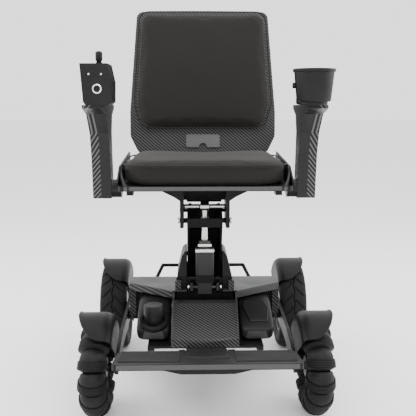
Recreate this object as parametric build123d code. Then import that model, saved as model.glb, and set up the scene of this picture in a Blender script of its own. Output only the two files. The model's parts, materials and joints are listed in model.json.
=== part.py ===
"""Power wheelchair with a four-bar seat lift and twelve-roller omni front wheels, in millimetres.

The chair faces -Y and stands on z = 0.  The user's right hand is on -X.  Distances along the chair
are given from the front wheels' axle and turned into the model's own y by back().
"""

import os
from math import cos, radians, sin, sqrt, tan

from build123d import *

# Base
WHEELBASE = 483.0
REAR_RADIUS = 136.0
FRONT_RADIUS = 122.0
FRONT_TRACK = 547.0  # between the front wheels' centres
REAR_TRACK = 552.0
AXLE_RADIUS = 10.0
RUNNING = 0.05  # radial clearance of a pin or shaft in its bore
GAP = 0.8  # clearance between moving pieces that never touch

# Omni wheels
ROLLER_COUNT = 12
ROLLER_RADIUS = 37.5
ROLLER_PHASE = 2.0  # degrees from the forward direction to a roller's rim
SOCKET_WALL = 2.5
FINGER_THICKNESS = 2.6
SHAFT_RADIUS = 5.0
HUB_HALF_WIDTH = 18.0

# Rear wheels
TYRE_WIDTH = 80.0
BEAD_RADIUS = 88.0
RIM_WALL = 8.0
SPOKE_COUNT = 5

# Mudguards
GUARD_GAP = 11.5
GUARD_WALL = 3.0
GUARD_WIDTH = 88.0
SKIRT_GAP = 2.5  # wheel's inner side to the skirt

# Chassis
ARM_PLATE = 9.0  # wheel arm plates
TRAY_HALF = 152.0
TRAY_TOP = 150.0
TRAY_WALL = 6.0
TRAY_FRONT = 66.0  # behind the front axle, as are all lengths below named so
TRAY_REAR = 400.0
RAIL_DEPTH = 34.0
DECK_TOP = 265.0
DECK_WALL = 3.0
DECK_HALF = 215.0
DECK_REAR = 344.0
DECK_CORNER = 280.0
DECK_NOSE = 190.0
ARCH_HEIGHT = 19.0
FASCIA_HALF = 88.0
FASCIA_WALL = 4.0
FASCIA_FRONT = 58.0
POD_WIDTH = 92.0
POD_FRONT = 105.0

# Tower and lift
TOWER_INNER = 49.5
TOWER_TOP = 368.0
LINK_HALF = TOWER_INNER - 1.5
LINK_WALL = 6.0
WEB_REACH = 28.0  # pivot line to the link's rear face
WEB_LENGTH = 124.0
FRONT_PIVOT = (262.0, 320.0)  # (behind the front axle, height)
SEAT_PIVOT = (190.0, 462.0)
REAR_OFFSET = (63.0, 20.0)  # rear link's pivots from the front link's
PIN_RADIUS = 7.0
ACTUATOR_BASE = (200.0, 272.0)
ACTUATOR_TOP = (196.0, 500.0)
ACTUATOR_PIN = 6.0
ROD_RADIUS = 10.0
OPEN_PIVOT_GAP = 3.0  # the rod end's eye round its pin
HOUSING_TOP = 134.0
BRACKET_INNER = TOWER_INNER + 7.5
BRACKET_WALL = 10.0

# Seat
SEAT_WIDTH = 440.0
SEAT_DEPTH = 424.0
SEAT_FRONT = 56.0
PAN_TOP = 571.0
PAN_WALL = 12.0
CUSHION_HEIGHT = 58.0
RECLINE_PIVOT = (500.0, 608.0)
BACK_LEAN = 10.4
BACK_HEIGHT = 443.0
BACK_HALF = 225.5
SHELL_WALL = 16.0
BACK_CUSHION = 44.0
LATCH_HALF = 52.0

# Arms
ARM_INNER = SEAT_WIDTH / 2 + 33.5
ARM_WIDTH = 50.0
ARM_PIVOT = (231.0, 546.0)
ARM_PIN = 9.0
ARM_KNUCKLE = 25.0
ARM_TOP = 773.0
PAD_HEIGHT = 27.0
PAD_FRONT = 150.0
PAD_REAR = 310.0
BOX_FRONT = 50.0
BOX_DEPTH = 95.0
BOX_TOP = 873.0
BOX_WALL = 3.5
STICK_RADIUS = 3.5
KNOB_RADIUS = 8.75
BUTTON_RADIUS = 8.0
CUP_RIM = 50.0
CUP_FOOT = 42.0
CUP_TOP = 860.0
CUP_WALL = 2.5

# Footplate
FOOT_WIDTH = 425.0
FOOT_DEPTH = 150.0
FOOT_WALL = 14.0
FOOT_TILT = 9.0
HINGE_BEHIND = -62.0
HINGE_HEIGHT = 182.0
HINGE_PIN = 5.0
NECK_HALF = 50.0

TILT = radians(FOOT_TILT)
FOOT_REACH = FOOT_DEPTH * cos(TILT) + FOOT_WALL / 2 * sin(TILT) - HINGE_BEHIND  # ahead of the front axle
LENGTH = FOOT_REACH + WHEELBASE + REAR_RADIUS
FRONT_AXLE_Y = FOOT_REACH - LENGTH / 2
SEAT_REAR = SEAT_FRONT + SEAT_DEPTH
SEAT_HALF = SEAT_WIDTH / 2
SIDES = {"right": -1, "left": 1}


def back(distance):
    """The model's y of a place this far behind the front axle."""
    return FRONT_AXLE_Y + distance


def spot(pair, x=0.0):
    """A point from a (behind the front axle, height) pair."""
    return Vector(x, back(pair[0]), pair[1])


def block(x0, x1, y0, y1, z0, z1):
    """A box between two corners; y is behind the front axle."""
    low_x, high_x = min(x0, x1), max(x0, x1)
    middle = ((low_x + high_x) / 2, back((y0 + y1) / 2), (z0 + z1) / 2)
    return Pos(*middle) * Box(high_x - low_x, y1 - y0, z1 - z0)


def side_plate(outline, x0, x1):
    """A plate across X with a (behind the front axle, height) outline."""
    low, high = min(x0, x1), max(x0, x1)
    face = Face(Wire.make_polygon([spot(pair, low) for pair in outline], close=True))
    return Part() + extrude(face, high - low, dir=(1, 0, 0))


def front_plate(outline, y0, y1):
    """A plate along Y with an (x, height) outline."""
    points = [Vector(x, back(y0), z) for x, z in outline]
    face = Face(Wire.make_polygon(points, close=True))
    return Part() + extrude(face, y1 - y0, dir=(0, 1, 0))


def flat_plate(outline, z0, z1):
    """A plate along Z with an (x, behind the front axle) outline."""
    points = [Vector(x, back(y), z0) for x, y in outline]
    face = Face(Wire.make_polygon(points, close=True))
    return Part() + extrude(face, z1 - z0, dir=(0, 0, 1))


def rod(start, end, radius):
    """A round bar between two points."""
    start, end = Vector(*start), Vector(*end)
    plane = Plane(origin=start, z_dir=end - start)
    return plane * Cylinder(radius, (end - start).length, align=(Align.CENTER, Align.CENTER, Align.MIN))


def cross_rod(pair, x0, x1, radius):
    """A round bar along X through a (behind the front axle, height) point."""
    return rod(spot(pair, min(x0, x1)), spot(pair, max(x0, x1)), radius)


def ring_of(profile, axis_origin, axis_direction, arc=360.0):
    """A turned piece: a planar wire of points swung round an axis."""
    face = Face(Wire.make_polygon(profile, close=True))
    return Part() + revolve(face, Axis(axis_origin, axis_direction), arc)


def both_sides(piece):
    """A piece and its mirror image across the chair's middle."""
    return piece + mirror(piece, about=Plane.YZ)


# ---------------------------------------------------------------- omni wheels

RING_RADIUS = FRONT_RADIUS - ROLLER_RADIUS
ROLLER_STEP = 360.0 / ROLLER_COUNT
ROLLER_HALF = RING_RADIUS * tan(radians(ROLLER_STEP / 2))
RIM_RADIUS = sqrt(FRONT_RADIUS**2 - ROLLER_HALF**2) - RING_RADIUS
SOCKET_RADIUS = RIM_RADIUS - SOCKET_WALL
BALL_RADIUS = SOCKET_RADIUS - GAP
CONE_SLOPE = tan(radians(ROLLER_STEP))
FINGER_LENGTH = FINGER_THICKNESS / cos(radians(ROLLER_STEP))
GAP_LENGTH = GAP / cos(radians(ROLLER_STEP))
SLOT_LENGTH = FINGER_LENGTH + 2 * GAP_LENGTH
SOCKET_DEPTH = BALL_RADIUS * cos(radians(ROLLER_STEP)) + 2 * GAP
HUB_RADIUS = RING_RADIUS - ROLLER_RADIUS - GAP


def cone_at(radius):
    """Place along a roller's axis of the next roller's rim plane, where it leans in most."""
    return CONE_SLOPE * radius - ROLLER_HALF


def roller():
    """One roller about Z: a ball end, a conical slot for the hub's finger, a crowned cup.

    The ball and the cup's socket are spheres centred where neighbouring axles meet, so each
    roller turns freely inside the next.
    """
    ball_end = BALL_RADIUS * sin(radians(ROLLER_STEP))
    ball_side = BALL_RADIUS * cos(radians(ROLLER_STEP))
    shoulder = cone_at(ROLLER_RADIUS) + SLOT_LENGTH
    floor_radius = sqrt(SOCKET_RADIUS**2 - SOCKET_DEPTH**2)
    crown = sqrt(FRONT_RADIUS**2 - shoulder**2) - RING_RADIUS
    mid = (shoulder + ROLLER_HALF) / 2
    middle = sqrt(FRONT_RADIUS**2 - mid**2) - RING_RADIUS
    turn = radians(90 - (90 - ROLLER_STEP) / 2)
    edges = [
        Line((0, -ROLLER_HALF - ball_end), (ball_side, -ROLLER_HALF - ball_end)),
        ThreePointArc(
            (ball_side, -ROLLER_HALF - ball_end),
            (BALL_RADIUS, -ROLLER_HALF),
            (ball_side, -ROLLER_HALF + ball_end),
        ),
        Line((ball_side, -ROLLER_HALF + ball_end), (SHAFT_RADIUS, cone_at(SHAFT_RADIUS))),
        Line((SHAFT_RADIUS, cone_at(SHAFT_RADIUS)), (SHAFT_RADIUS, cone_at(SHAFT_RADIUS) + SLOT_LENGTH)),
        Line((SHAFT_RADIUS, cone_at(SHAFT_RADIUS) + SLOT_LENGTH), (crown, shoulder)),
        ThreePointArc((crown, shoulder), (middle, mid), (RIM_RADIUS, ROLLER_HALF)),
        Line((RIM_RADIUS, ROLLER_HALF), (SOCKET_RADIUS, ROLLER_HALF)),
        ThreePointArc(
            (SOCKET_RADIUS, ROLLER_HALF),
            (SOCKET_RADIUS * sin(turn), ROLLER_HALF - SOCKET_RADIUS * cos(turn)),
            (floor_radius, ROLLER_HALF - SOCKET_DEPTH),
        ),
        Line((floor_radius, ROLLER_HALF - SOCKET_DEPTH), (0, ROLLER_HALF - SOCKET_DEPTH)),
        Line((0, ROLLER_HALF - SOCKET_DEPTH), (0, -ROLLER_HALF - ball_end)),
    ]
    outline = Plane.XZ * make_face(edges)
    return Part() + revolve(outline, Axis.Z, 360)


def finger():
    """The hub's arm in a roller's slot: a conical strip towards the hub and an eye on the shaft."""
    reach = RING_RADIUS - HUB_RADIUS + 2.0
    inner = SHAFT_RADIUS + 0.5
    eye = 12.0

    def strip(radius):
        """Outline of the conical strip from the eye's bore out to a radius."""
        start = GAP_LENGTH
        return [
            Vector(inner, 0, cone_at(inner) + start),
            Vector(radius, 0, cone_at(radius) + start),
            Vector(radius, 0, cone_at(radius) + start + FINGER_LENGTH),
            Vector(inner, 0, cone_at(inner) + start + FINGER_LENGTH),
        ]

    spread = 50.0
    arm = Rot(0, 0, -spread / 2) * ring_of(strip(reach), (0, 0, 0), (0, 0, 1), spread)
    return arm + ring_of(strip(eye), (0, 0, 0), (0, 0, 1))


def roller_plane(side, index):
    """A roller's place: z along its axle towards the cup, x towards the wheel's centre."""
    angle = radians(ROLLER_PHASE + ROLLER_STEP * index - ROLLER_STEP / 2)
    outward = Vector(0, -cos(angle), sin(angle))
    centre = Vector(side * FRONT_TRACK / 2, FRONT_AXLE_Y, FRONT_RADIUS)
    return Plane(
        origin=centre + outward * RING_RADIUS,
        x_dir=outward * -1,
        z_dir=Vector(0, sin(angle), cos(angle)),
    )


def omni_hub(side):
    """Hub barrel with twelve fingers and a bore on the stub axle."""
    axle = (0.0, FRONT_RADIUS)
    middle = side * FRONT_TRACK / 2
    hub = cross_rod(axle, middle - HUB_HALF_WIDTH, middle + HUB_HALF_WIDTH, HUB_RADIUS)
    hub += cross_rod(axle, middle - HUB_HALF_WIDTH - 6, middle + HUB_HALF_WIDTH + 6, 26.0)
    for index in range(ROLLER_COUNT):
        hub += roller_plane(side, index) * finger()
    return hub - cross_rod(axle, middle - 60, middle + 60, AXLE_RADIUS + RUNNING)


# ---------------------------------------------------------------- rear wheels

REAR_AXLE = (WHEELBASE, REAR_RADIUS)


def rear_profile(side, pairs):
    """Points of a rear wheel's section from (radius, offset outwards) pairs."""
    centre = spot(REAR_AXLE, side * REAR_TRACK / 2)
    return [centre + Vector(side * offset, 0, radius) for radius, offset in pairs]


def rear_tyre(side):
    """Wide tyre with a crowned tread and square shoulders."""
    half = TYRE_WIDTH / 2
    section = [
        (BEAD_RADIUS, -half + 8),
        (BEAD_RADIUS + 16, -half),
        (REAR_RADIUS - 14, -half),
        (REAR_RADIUS - 4, -half + 9),
        (REAR_RADIUS, -half + 24),
        (REAR_RADIUS, half - 24),
        (REAR_RADIUS - 4, half - 9),
        (REAR_RADIUS - 14, half),
        (BEAD_RADIUS + 16, half),
        (BEAD_RADIUS, half - 8),
    ]
    return ring_of(rear_profile(side, section), spot(REAR_AXLE), (1, 0, 0))


def rear_rim(side):
    """Rim barrel, spokes and the hub motor's drum, bored for the stub axle."""
    half = TYRE_WIDTH / 2 - 8
    inner = BEAD_RADIUS - RIM_WALL
    barrel = [(BEAD_RADIUS, -half), (BEAD_RADIUS, half), (inner, half), (inner, -half)]
    rim = ring_of(rear_profile(side, barrel), spot(REAR_AXLE), (1, 0, 0))
    drum = [(0, -half), (44, -half), (44, half - 8), (34, half - 2), (0, half - 2)]
    rim += ring_of(rear_profile(side, drum), spot(REAR_AXLE), (1, 0, 0))
    for index in range(SPOKE_COUNT):
        spoke = Pos(0, 0, (40 + inner) / 2 + 1) * Box(14, 26, inner - 36)
        angle = 360 / SPOKE_COUNT * index
        place = Pos(*spot(REAR_AXLE, side * (REAR_TRACK / 2 + half - 20)))
        rim += place * Rot(angle, 0, 0) * spoke
    middle = side * REAR_TRACK / 2
    return rim - cross_rod(REAR_AXLE, middle - 60, middle + 60, AXLE_RADIUS + RUNNING)


# ---------------------------------------------------------------- mudguards


def mudguard(side, axle, wheel_radius, wheel_inner, sweep):
    """A shell over the wheel with a petal-shaped skirt down to the axle."""
    radius = wheel_radius + GUARD_GAP
    inner = wheel_inner - SKIRT_GAP - GUARD_WALL
    outer = inner + GUARD_WIDTH
    start, end = sweep

    def on_arc(angle, distance):
        """A (behind, height) point round the axle, from the forward direction upwards."""
        return (axle[0] - distance * cos(radians(angle)), axle[1] + distance * sin(radians(angle)))

    forward = Vector(0, -1, 0)
    section = [(radius, inner), (radius, outer), (radius + GUARD_WALL, outer), (radius + GUARD_WALL, inner)]
    points = [spot(axle, side * x) + forward * distance for distance, x in section]
    shell = ring_of(points, spot(axle), (-1, 0, 0), end)
    tip = radius * sin(radians(start + 13)) + axle[1]
    keep = side_plate(
        [on_arc(start, 0), on_arc(start, 2 * radius), on_arc(end, 2 * radius), on_arc(end, 0)],
        side * (inner - 1),
        side * (outer + 1),
    )
    shell = shell & keep
    corner = front_plate(
        [(side * (outer + 1), tip), (side * (outer + 1), 0), (side * (outer - 26), 0)],
        axle[0] - 2 * radius,
        axle[0],
    )
    shell -= corner
    petal = [on_arc(start + 2, radius + 1)]
    petal += [on_arc(start + 2 + step * (end - start - 12) / 6, radius + 1) for step in range(1, 7)]
    petal += [on_arc(180, 20), on_arc(240, 20), on_arc(300, 20), on_arc(360, 20)]
    skirt = side_plate(petal, side * inner, side * (inner + GUARD_WALL))
    skirt -= cross_rod(axle, side * (inner - 5), side * (inner + 10), AXLE_RADIUS)
    return shell + skirt


def front_guards():
    """Both front mudguards."""
    inner = FRONT_TRACK / 2 - ROLLER_RADIUS
    pair = [mudguard(side, (0.0, FRONT_RADIUS), FRONT_RADIUS, inner, (49, 150)) for side in SIDES.values()]
    return Compound(children=pair)


def rear_guards():
    """Both rear mudguards."""
    inner = REAR_TRACK / 2 - TYRE_WIDTH / 2
    pair = [mudguard(side, REAR_AXLE, REAR_RADIUS, inner, (47, 140)) for side in SIDES.values()]
    return Compound(children=pair)


# ---------------------------------------------------------------- chassis

ARM_OUTER = FRONT_TRACK / 2 - ROLLER_RADIUS - SKIRT_GAP - GUARD_WALL
BEAM_FRONT = 440.0
BEAM_REAR = 470.0


def wheel_arms():
    """The plates that join front and rear axles, with the stub axles and their nuts."""
    arms = []
    inner = ARM_OUTER - ARM_PLATE
    for side in SIDES.values():
        outline = [
            (-20, FRONT_RADIUS),
            (0, FRONT_RADIUS + 20),
            (140, FRONT_RADIUS + 48),
            (BEAM_FRONT - 30, REAR_RADIUS + 56),
            (WHEELBASE, REAR_RADIUS + 40),
            (WHEELBASE + 22, REAR_RADIUS),
            (WHEELBASE, REAR_RADIUS - 22),
            (WHEELBASE - 60, REAR_RADIUS + 6),
            (160, FRONT_RADIUS + 8),
            (0, FRONT_RADIUS - 20),
        ]
        arm = side_plate(outline, side * inner, side * ARM_OUTER)
        for axle, track in (((0.0, FRONT_RADIUS), FRONT_TRACK), (REAR_AXLE, REAR_TRACK)):
            end = side * (track / 2 + 30)
            arm += cross_rod(axle, side * inner, end, AXLE_RADIUS)
            nut = Plane(origin=spot(axle, end), z_dir=(side, 0, 0)) * extrude(RegularPolygon(14, 6), 7)
            arm += nut
        arms.append(arm)
    return Compound(children=arms)


def chassis_frame():
    """Tray, rails, beams and the footplate's neck, welded into one frame."""
    rail_bottom = TRAY_TOP - TRAY_WALL - RAIL_DEPTH
    plate_bottom = TRAY_TOP - TRAY_WALL
    frame = block(-TRAY_HALF, TRAY_HALF, TRAY_FRONT, TRAY_REAR, plate_bottom, TRAY_TOP)
    frame += both_sides(block(100, 130, 190, BEAM_REAR, rail_bottom, plate_bottom))
    frame += block(-130, 130, 190, 215, rail_bottom, plate_bottom)
    beam = ARM_OUTER - ARM_PLATE
    frame += block(-beam, beam, BEAM_FRONT, BEAM_REAR, TRAY_TOP, TRAY_TOP + 34)
    frame += both_sides(block(100, 130, TRAY_REAR - 20, BEAM_REAR, plate_bottom, TRAY_TOP))
    frame += both_sides(block(TRAY_HALF - 30, beam, 296, 326, TRAY_TOP, TRAY_TOP + 26))
    frame += both_sides(block(188, 203, 302, 320, TRAY_TOP + 26, DECK_TOP - DECK_WALL))
    foot = block(TRAY_HALF - 18, TRAY_HALF, TRAY_FRONT, TRAY_FRONT + 24, plate_bottom - 6, plate_bottom)
    frame += both_sides(foot)
    neck = [
        (HINGE_BEHIND, HINGE_HEIGHT - 8),
        (HINGE_BEHIND, HINGE_HEIGHT + 8),
        (FASCIA_FRONT - 1, TRAY_TOP),
        (TRAY_FRONT + 10, TRAY_TOP),
        (TRAY_FRONT + 60, plate_bottom),
        (TRAY_FRONT + 40, plate_bottom - 6),
        (TRAY_FRONT - 6, plate_bottom - 12),
    ]
    frame += side_plate(neck, -NECK_HALF, NECK_HALF)
    pivot = (HINGE_BEHIND, HINGE_HEIGHT)
    frame += cross_rod(pivot, -NECK_HALF, NECK_HALF, 8)
    frame += cross_rod(pivot, -NECK_HALF - 18, NECK_HALF + 18, HINGE_PIN)
    return frame


def arch_line(offset):
    """The deck's slanted front edge in plan, moved straight forward by an offset."""
    return [(FASCIA_HALF, DECK_NOSE - offset), (DECK_HALF, DECK_CORNER - offset)]


def deck_cover():
    """Deck lid with a rear skirt, side skirts, and the two arches over the pods."""
    wall = DECK_WALL
    nose, corner = arch_line(0)
    outline = [
        (-DECK_HALF, DECK_REAR),
        (DECK_HALF, DECK_REAR),
        corner,
        nose,
        (-nose[0], nose[1]),
        (-corner[0], corner[1]),
    ]
    deck = flat_plate(outline, DECK_TOP - wall, DECK_TOP)
    deck += block(-DECK_HALF, DECK_HALF, DECK_REAR - wall, DECK_REAR, DECK_TOP - 60, DECK_TOP)
    deck += both_sides(block(DECK_HALF - wall, DECK_HALF, DECK_CORNER, DECK_REAR, DECK_TOP - 30, DECK_TOP))
    front_nose, front_corner = arch_line(6)
    band = [nose, corner, front_corner, front_nose]
    deck += both_sides(flat_plate(band, DECK_TOP - ARCH_HEIGHT, DECK_TOP))
    leg = [
        (DECK_HALF - 13, DECK_TOP),
        (DECK_HALF, DECK_TOP),
        (DECK_HALF, DECK_TOP - 32),
        (DECK_HALF - 2, TRAY_TOP + 6),
        (DECK_HALF - 10, TRAY_TOP),
    ]
    deck += both_sides(front_plate(leg, DECK_CORNER - 6, DECK_CORNER))
    tower = block(-82, 82, 212, 325, DECK_TOP - 10, DECK_TOP + 1)
    actuator = block(-TOWER_INNER, TOWER_INNER, 160, 220, DECK_TOP - 10, DECK_TOP + 1)
    return deck - tower - actuator


def front_fascia():
    """The ramp down to the footplate's neck, its side walls, and a cheek each side of the tower."""
    half, wall = FASCIA_HALF - 0.5, FASCIA_WALL
    ramp = [
        (DECK_NOSE - 7, 240),
        (150, 240),
        (FASCIA_FRONT + 4, 172),
        (FASCIA_FRONT, TRAY_TOP),
        (FASCIA_FRONT + wall, TRAY_TOP),
        (FASCIA_FRONT + 8, 170),
        (152, 240 - wall),
        (DECK_NOSE - 7, 240 - wall),
    ]
    fascia = side_plate(ramp, -half, half)
    wing = [
        (DECK_NOSE - 7, DECK_TOP - 2),
        (160, DECK_TOP - 8),
        (FASCIA_FRONT + 4, 174),
        (FASCIA_FRONT, TRAY_TOP),
        (DECK_NOSE - 7, TRAY_TOP),
    ]
    fascia += both_sides(side_plate(wing, half - wall, half))
    cheek = [(196, DECK_TOP), (200, DECK_TOP + 26), (209, DECK_TOP + 26), (209, DECK_TOP)]
    cheeks = both_sides(side_plate(cheek, 66, 82))
    return Compound(children=[fascia, cheeks])


def pod_shape(side):
    """The slanted case beside the ramp, clear of ramp, deck and tray."""
    inner = FASCIA_HALF + 4
    outer = inner + POD_WIDTH
    floor = TRAY_TOP + 0.5
    outline = [
        (POD_FRONT, floor + 4),
        (POD_FRONT + 2, floor + 26),
        (POD_FRONT + 16, floor + 40),
        (196, DECK_TOP - ARCH_HEIGHT - 6),
        (206, DECK_TOP - ARCH_HEIGHT - 2),
        (290, DECK_TOP - ARCH_HEIGHT - 2),
        (290, floor),
        (POD_FRONT + 6, floor),
    ]
    pod = side_plate(outline, side * inner, side * outer)
    low = front_plate(
        [
            (side * (outer + 1), floor - 1),
            (side * (outer + 1), floor + 24),
            (side * (outer - 20), floor - 1),
        ],
        POD_FRONT - 5,
        300,
    )
    return pod - low


def controller_pod():
    """The right pod: motor controller case with an upright horn capsule in its face."""
    side = SIDES["right"]
    pod = pod_shape(side)
    middle = side * (FASCIA_HALF + 4 + POD_WIDTH / 2)
    top, bottom = (150, 236), (150, 205)
    capsule = rod(spot(top, middle), spot(bottom, middle), 27)
    capsule += Pos(*spot(bottom, middle)) * Sphere(27)
    return pod + capsule


def battery_pack():
    """The left pod: battery case with a grip recess, sliding out forwards."""
    side = SIDES["left"]
    pod = pod_shape(side)
    middle = side * (FASCIA_HALF + 4 + POD_WIDTH / 2)
    recess = block(middle - 26, middle + 26, POD_FRONT - 10, POD_FRONT + 14, TRAY_TOP + 8, TRAY_TOP + 24)
    return pod - recess


def rear_bar():
    """Bent carrying bar behind the deck."""
    radius = 5.5
    foot, knee = (BEAM_REAR - 12, TRAY_TOP + 34 - 4), (500, 262)
    path = [spot(foot, -172), spot(knee, -129), spot(knee, 129), spot(foot, 172)]
    bar = rod(path[0], path[1], radius) + rod(path[1], path[2], radius) + rod(path[2], path[3], radius)
    for corner in path[1:3]:
        bar += Pos(*corner) * Sphere(radius)
    return bar - block(-200, 200, 430, 480, 150, TRAY_TOP + 34)


# ---------------------------------------------------------------- lift

REAR_PIVOT = (FRONT_PIVOT[0] + REAR_OFFSET[0], FRONT_PIVOT[1] + REAR_OFFSET[1])
REAR_SEAT_PIVOT = (SEAT_PIVOT[0] + REAR_OFFSET[0], SEAT_PIVOT[1] + REAR_OFFSET[1])


def lift_tower():
    """Flared side plates on a foot, a front cross plate and the actuator's lugs."""
    inner = TOWER_INNER
    flare = [
        (inner, TRAY_TOP),
        (inner, TOWER_TOP),
        (inner + 5, TOWER_TOP),
        (inner + 14, TOWER_TOP - 14),
        (inner + 27, 301),
        (inner + 30, DECK_TOP),
        (inner + 30, TRAY_TOP),
    ]
    profile = [
        (215, TRAY_TOP),
        (215, 300),
        (228, TOWER_TOP),
        (REAR_PIVOT[0] + 4, TOWER_TOP),
        (REAR_PIVOT[0] + 24, REAR_PIVOT[1] + 20),
        (REAR_PIVOT[0] + 24, REAR_PIVOT[1] - 22),
        (REAR_PIVOT[0] - 3, 290),
        (REAR_PIVOT[0] - 3, TRAY_TOP),
    ]
    plates = front_plate(flare, 200, 370) & side_plate(profile, inner, inner + 40)
    tower = both_sides(plates)
    tower += block(-inner - 30, inner + 30, 215, REAR_PIVOT[0] - 3, TRAY_TOP, TRAY_TOP + 10)
    tower += block(-inner, inner, 222, 228, TRAY_TOP, 292)
    base = ACTUATOR_BASE
    lug = [
        (base[0] - 13, base[1] - 8),
        (base[0] - 6, base[1] + 13),
        (223, base[1] + 16),
        (223, base[1] - 22),
    ]
    tower += both_sides(side_plate(lug, 32, 40))
    tower -= cross_rod(FRONT_PIVOT, -100, 100, PIN_RADIUS + RUNNING)
    tower -= cross_rod(REAR_PIVOT, -100, 100, PIN_RADIUS + RUNNING)
    return tower - cross_rod(base, -60, 60, ACTUATOR_PIN + RUNNING)


def link_outline(start, end, front, rear):
    """A bar's outline between two pivots, given its reach in front and behind the pivot line."""
    line = Vector(end[0] - start[0], end[1] - start[1]).normalized()
    across = Vector(line.Y, -line.X)
    reach = 16.0
    corners = [(start, -reach, -front), (end, reach, -front), (end, reach, rear), (start, -reach, rear)]
    return [
        (pivot[0] + line.X * along + across.X * side, pivot[1] + line.Y * along + across.Y * side)
        for pivot, along, side in corners
    ]


def front_link():
    """U-channel with a short web behind, a cross plate near its top, and its four pins."""
    along = link_outline(FRONT_PIVOT, SEAT_PIVOT, 18, WEB_REACH)
    link = both_sides(side_plate(along, LINK_HALF - LINK_WALL, LINK_HALF))
    foot = link_outline(FRONT_PIVOT, SEAT_PIVOT, 3 - WEB_REACH, WEB_REACH)[::3]
    way = Vector(SEAT_PIVOT[0] - FRONT_PIVOT[0], SEAT_PIVOT[1] - FRONT_PIVOT[1]).normalized()
    head = [(corner[0] + way.X * WEB_LENGTH, corner[1] + way.Y * WEB_LENGTH) for corner in foot]
    link += side_plate([foot[0], head[0], head[1], foot[1]], -LINK_HALF, LINK_HALF)
    front, rear, low, high = SEAT_PIVOT[0] - 24, SEAT_PIVOT[0] - 9, SEAT_PIVOT[1] - 16, SEAT_PIVOT[1] + 9
    plate = [(front + 3, low), (front - 3, high), (front + 1, high + 1), (rear, low + 1)]
    link += side_plate(plate, -LINK_HALF, LINK_HALF)
    for pivot, reach in ((FRONT_PIVOT, TOWER_INNER + 14), (SEAT_PIVOT, BRACKET_INNER + BRACKET_WALL + 2)):
        link += both_sides(cross_rod(pivot, LINK_HALF - LINK_WALL, reach, PIN_RADIUS))
    return link


def rear_link():
    """Two flat bars with a spacer, on the rear pins."""
    bars = both_sides(side_plate(link_outline(REAR_PIVOT, REAR_SEAT_PIVOT, 10, 10), 36, 44))
    middle = ((REAR_PIVOT[0] + REAR_SEAT_PIVOT[0]) / 2, (REAR_PIVOT[1] + REAR_SEAT_PIVOT[1]) / 2)
    bars += cross_rod(middle, -40, 40, 8)
    bars += cross_rod(REAR_PIVOT, -TOWER_INNER - 14, TOWER_INNER + 14, PIN_RADIUS)
    bars += side_plate(link_outline(REAR_PIVOT, REAR_SEAT_PIVOT, 2, 2), -40, 40)
    reach = BRACKET_INNER + BRACKET_WALL + 2
    return bars + cross_rod(REAR_SEAT_PIVOT, -reach, reach, PIN_RADIUS)


def actuator_plane():
    """The actuator's own frame: z from its base pin to the rod end."""
    start, end = spot(ACTUATOR_BASE), spot(ACTUATOR_TOP)
    return Plane(origin=start, x_dir=(1, 0, 0), z_dir=end - start)


def upright(radius, low, high):
    """A cylinder on Z between two heights."""
    return Pos(0, 0, (low + high) / 2) * Cylinder(radius, high - low)


def actuator_body():
    """Base eye, gearbox and motor housing, bored for the rod, with the base pin."""
    body = Pos(0, 0, 78) * Box(50, 40, 76)
    body = fillet(body.edges().filter_by(Axis.Z), 6)
    body += Pos(0, 0, 28) * Box(46, 34, 26)
    body += Pos(0, 0, 4) * Box(38, 26, 40)
    body += upright(17, 110, HOUSING_TOP)
    body -= upright(ROD_RADIUS + RUNNING, 45, HOUSING_TOP + 10)
    body = actuator_plane() * body
    return body + cross_rod(ACTUATOR_BASE, -43, 43, ACTUATOR_PIN)


def actuator_rod():
    """Polished rod with a wide-bored eye at its top."""
    length = (spot(ACTUATOR_TOP) - spot(ACTUATOR_BASE)).length
    eye = ACTUATOR_PIN + OPEN_PIVOT_GAP
    rod_piece = upright(ROD_RADIUS, 100, length - eye - 1)
    rod_piece += Pos(0, 0, length) * Rot(0, 90, 0) * Cylinder(eye + 4, 24)
    rod_piece -= Pos(0, 0, length) * Rot(0, 90, 0) * Cylinder(eye, 30)
    return actuator_plane() * rod_piece


def seat_carriage():
    """Bracket plates with gull wings under the seat and the rod end's cross pin."""
    inner, outer = BRACKET_INNER, BRACKET_INNER + BRACKET_WALL
    top = PAN_TOP - PAN_WALL
    wing = [
        (inner, top - 114),
        (outer, top - 114),
        (outer, top - 40),
        (outer + 17, top - 29),
        (outer + 50, top - 13),
        (outer + 105, top - 3),
        (outer + 105, top),
        (inner, top),
    ]
    wings = front_plate(wing, SEAT_PIVOT[0] - 25, REAR_SEAT_PIVOT[0] + 22)
    carriage = both_sides(wings)
    carriage += block(-outer - 70, outer + 70, 120, 420, top - 8, top)
    carriage += block(-inner, inner, REAR_SEAT_PIVOT[0] + 14, REAR_SEAT_PIVOT[0] + 20, top - 52, top)
    carriage -= cross_rod(SEAT_PIVOT, -90, 90, PIN_RADIUS + RUNNING)
    carriage -= cross_rod(REAR_SEAT_PIVOT, -90, 90, PIN_RADIUS + RUNNING)
    return carriage + cross_rod(ACTUATOR_TOP, -inner - 4, inner + 4, ACTUATOR_PIN)


# ---------------------------------------------------------------- seat and back


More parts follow.
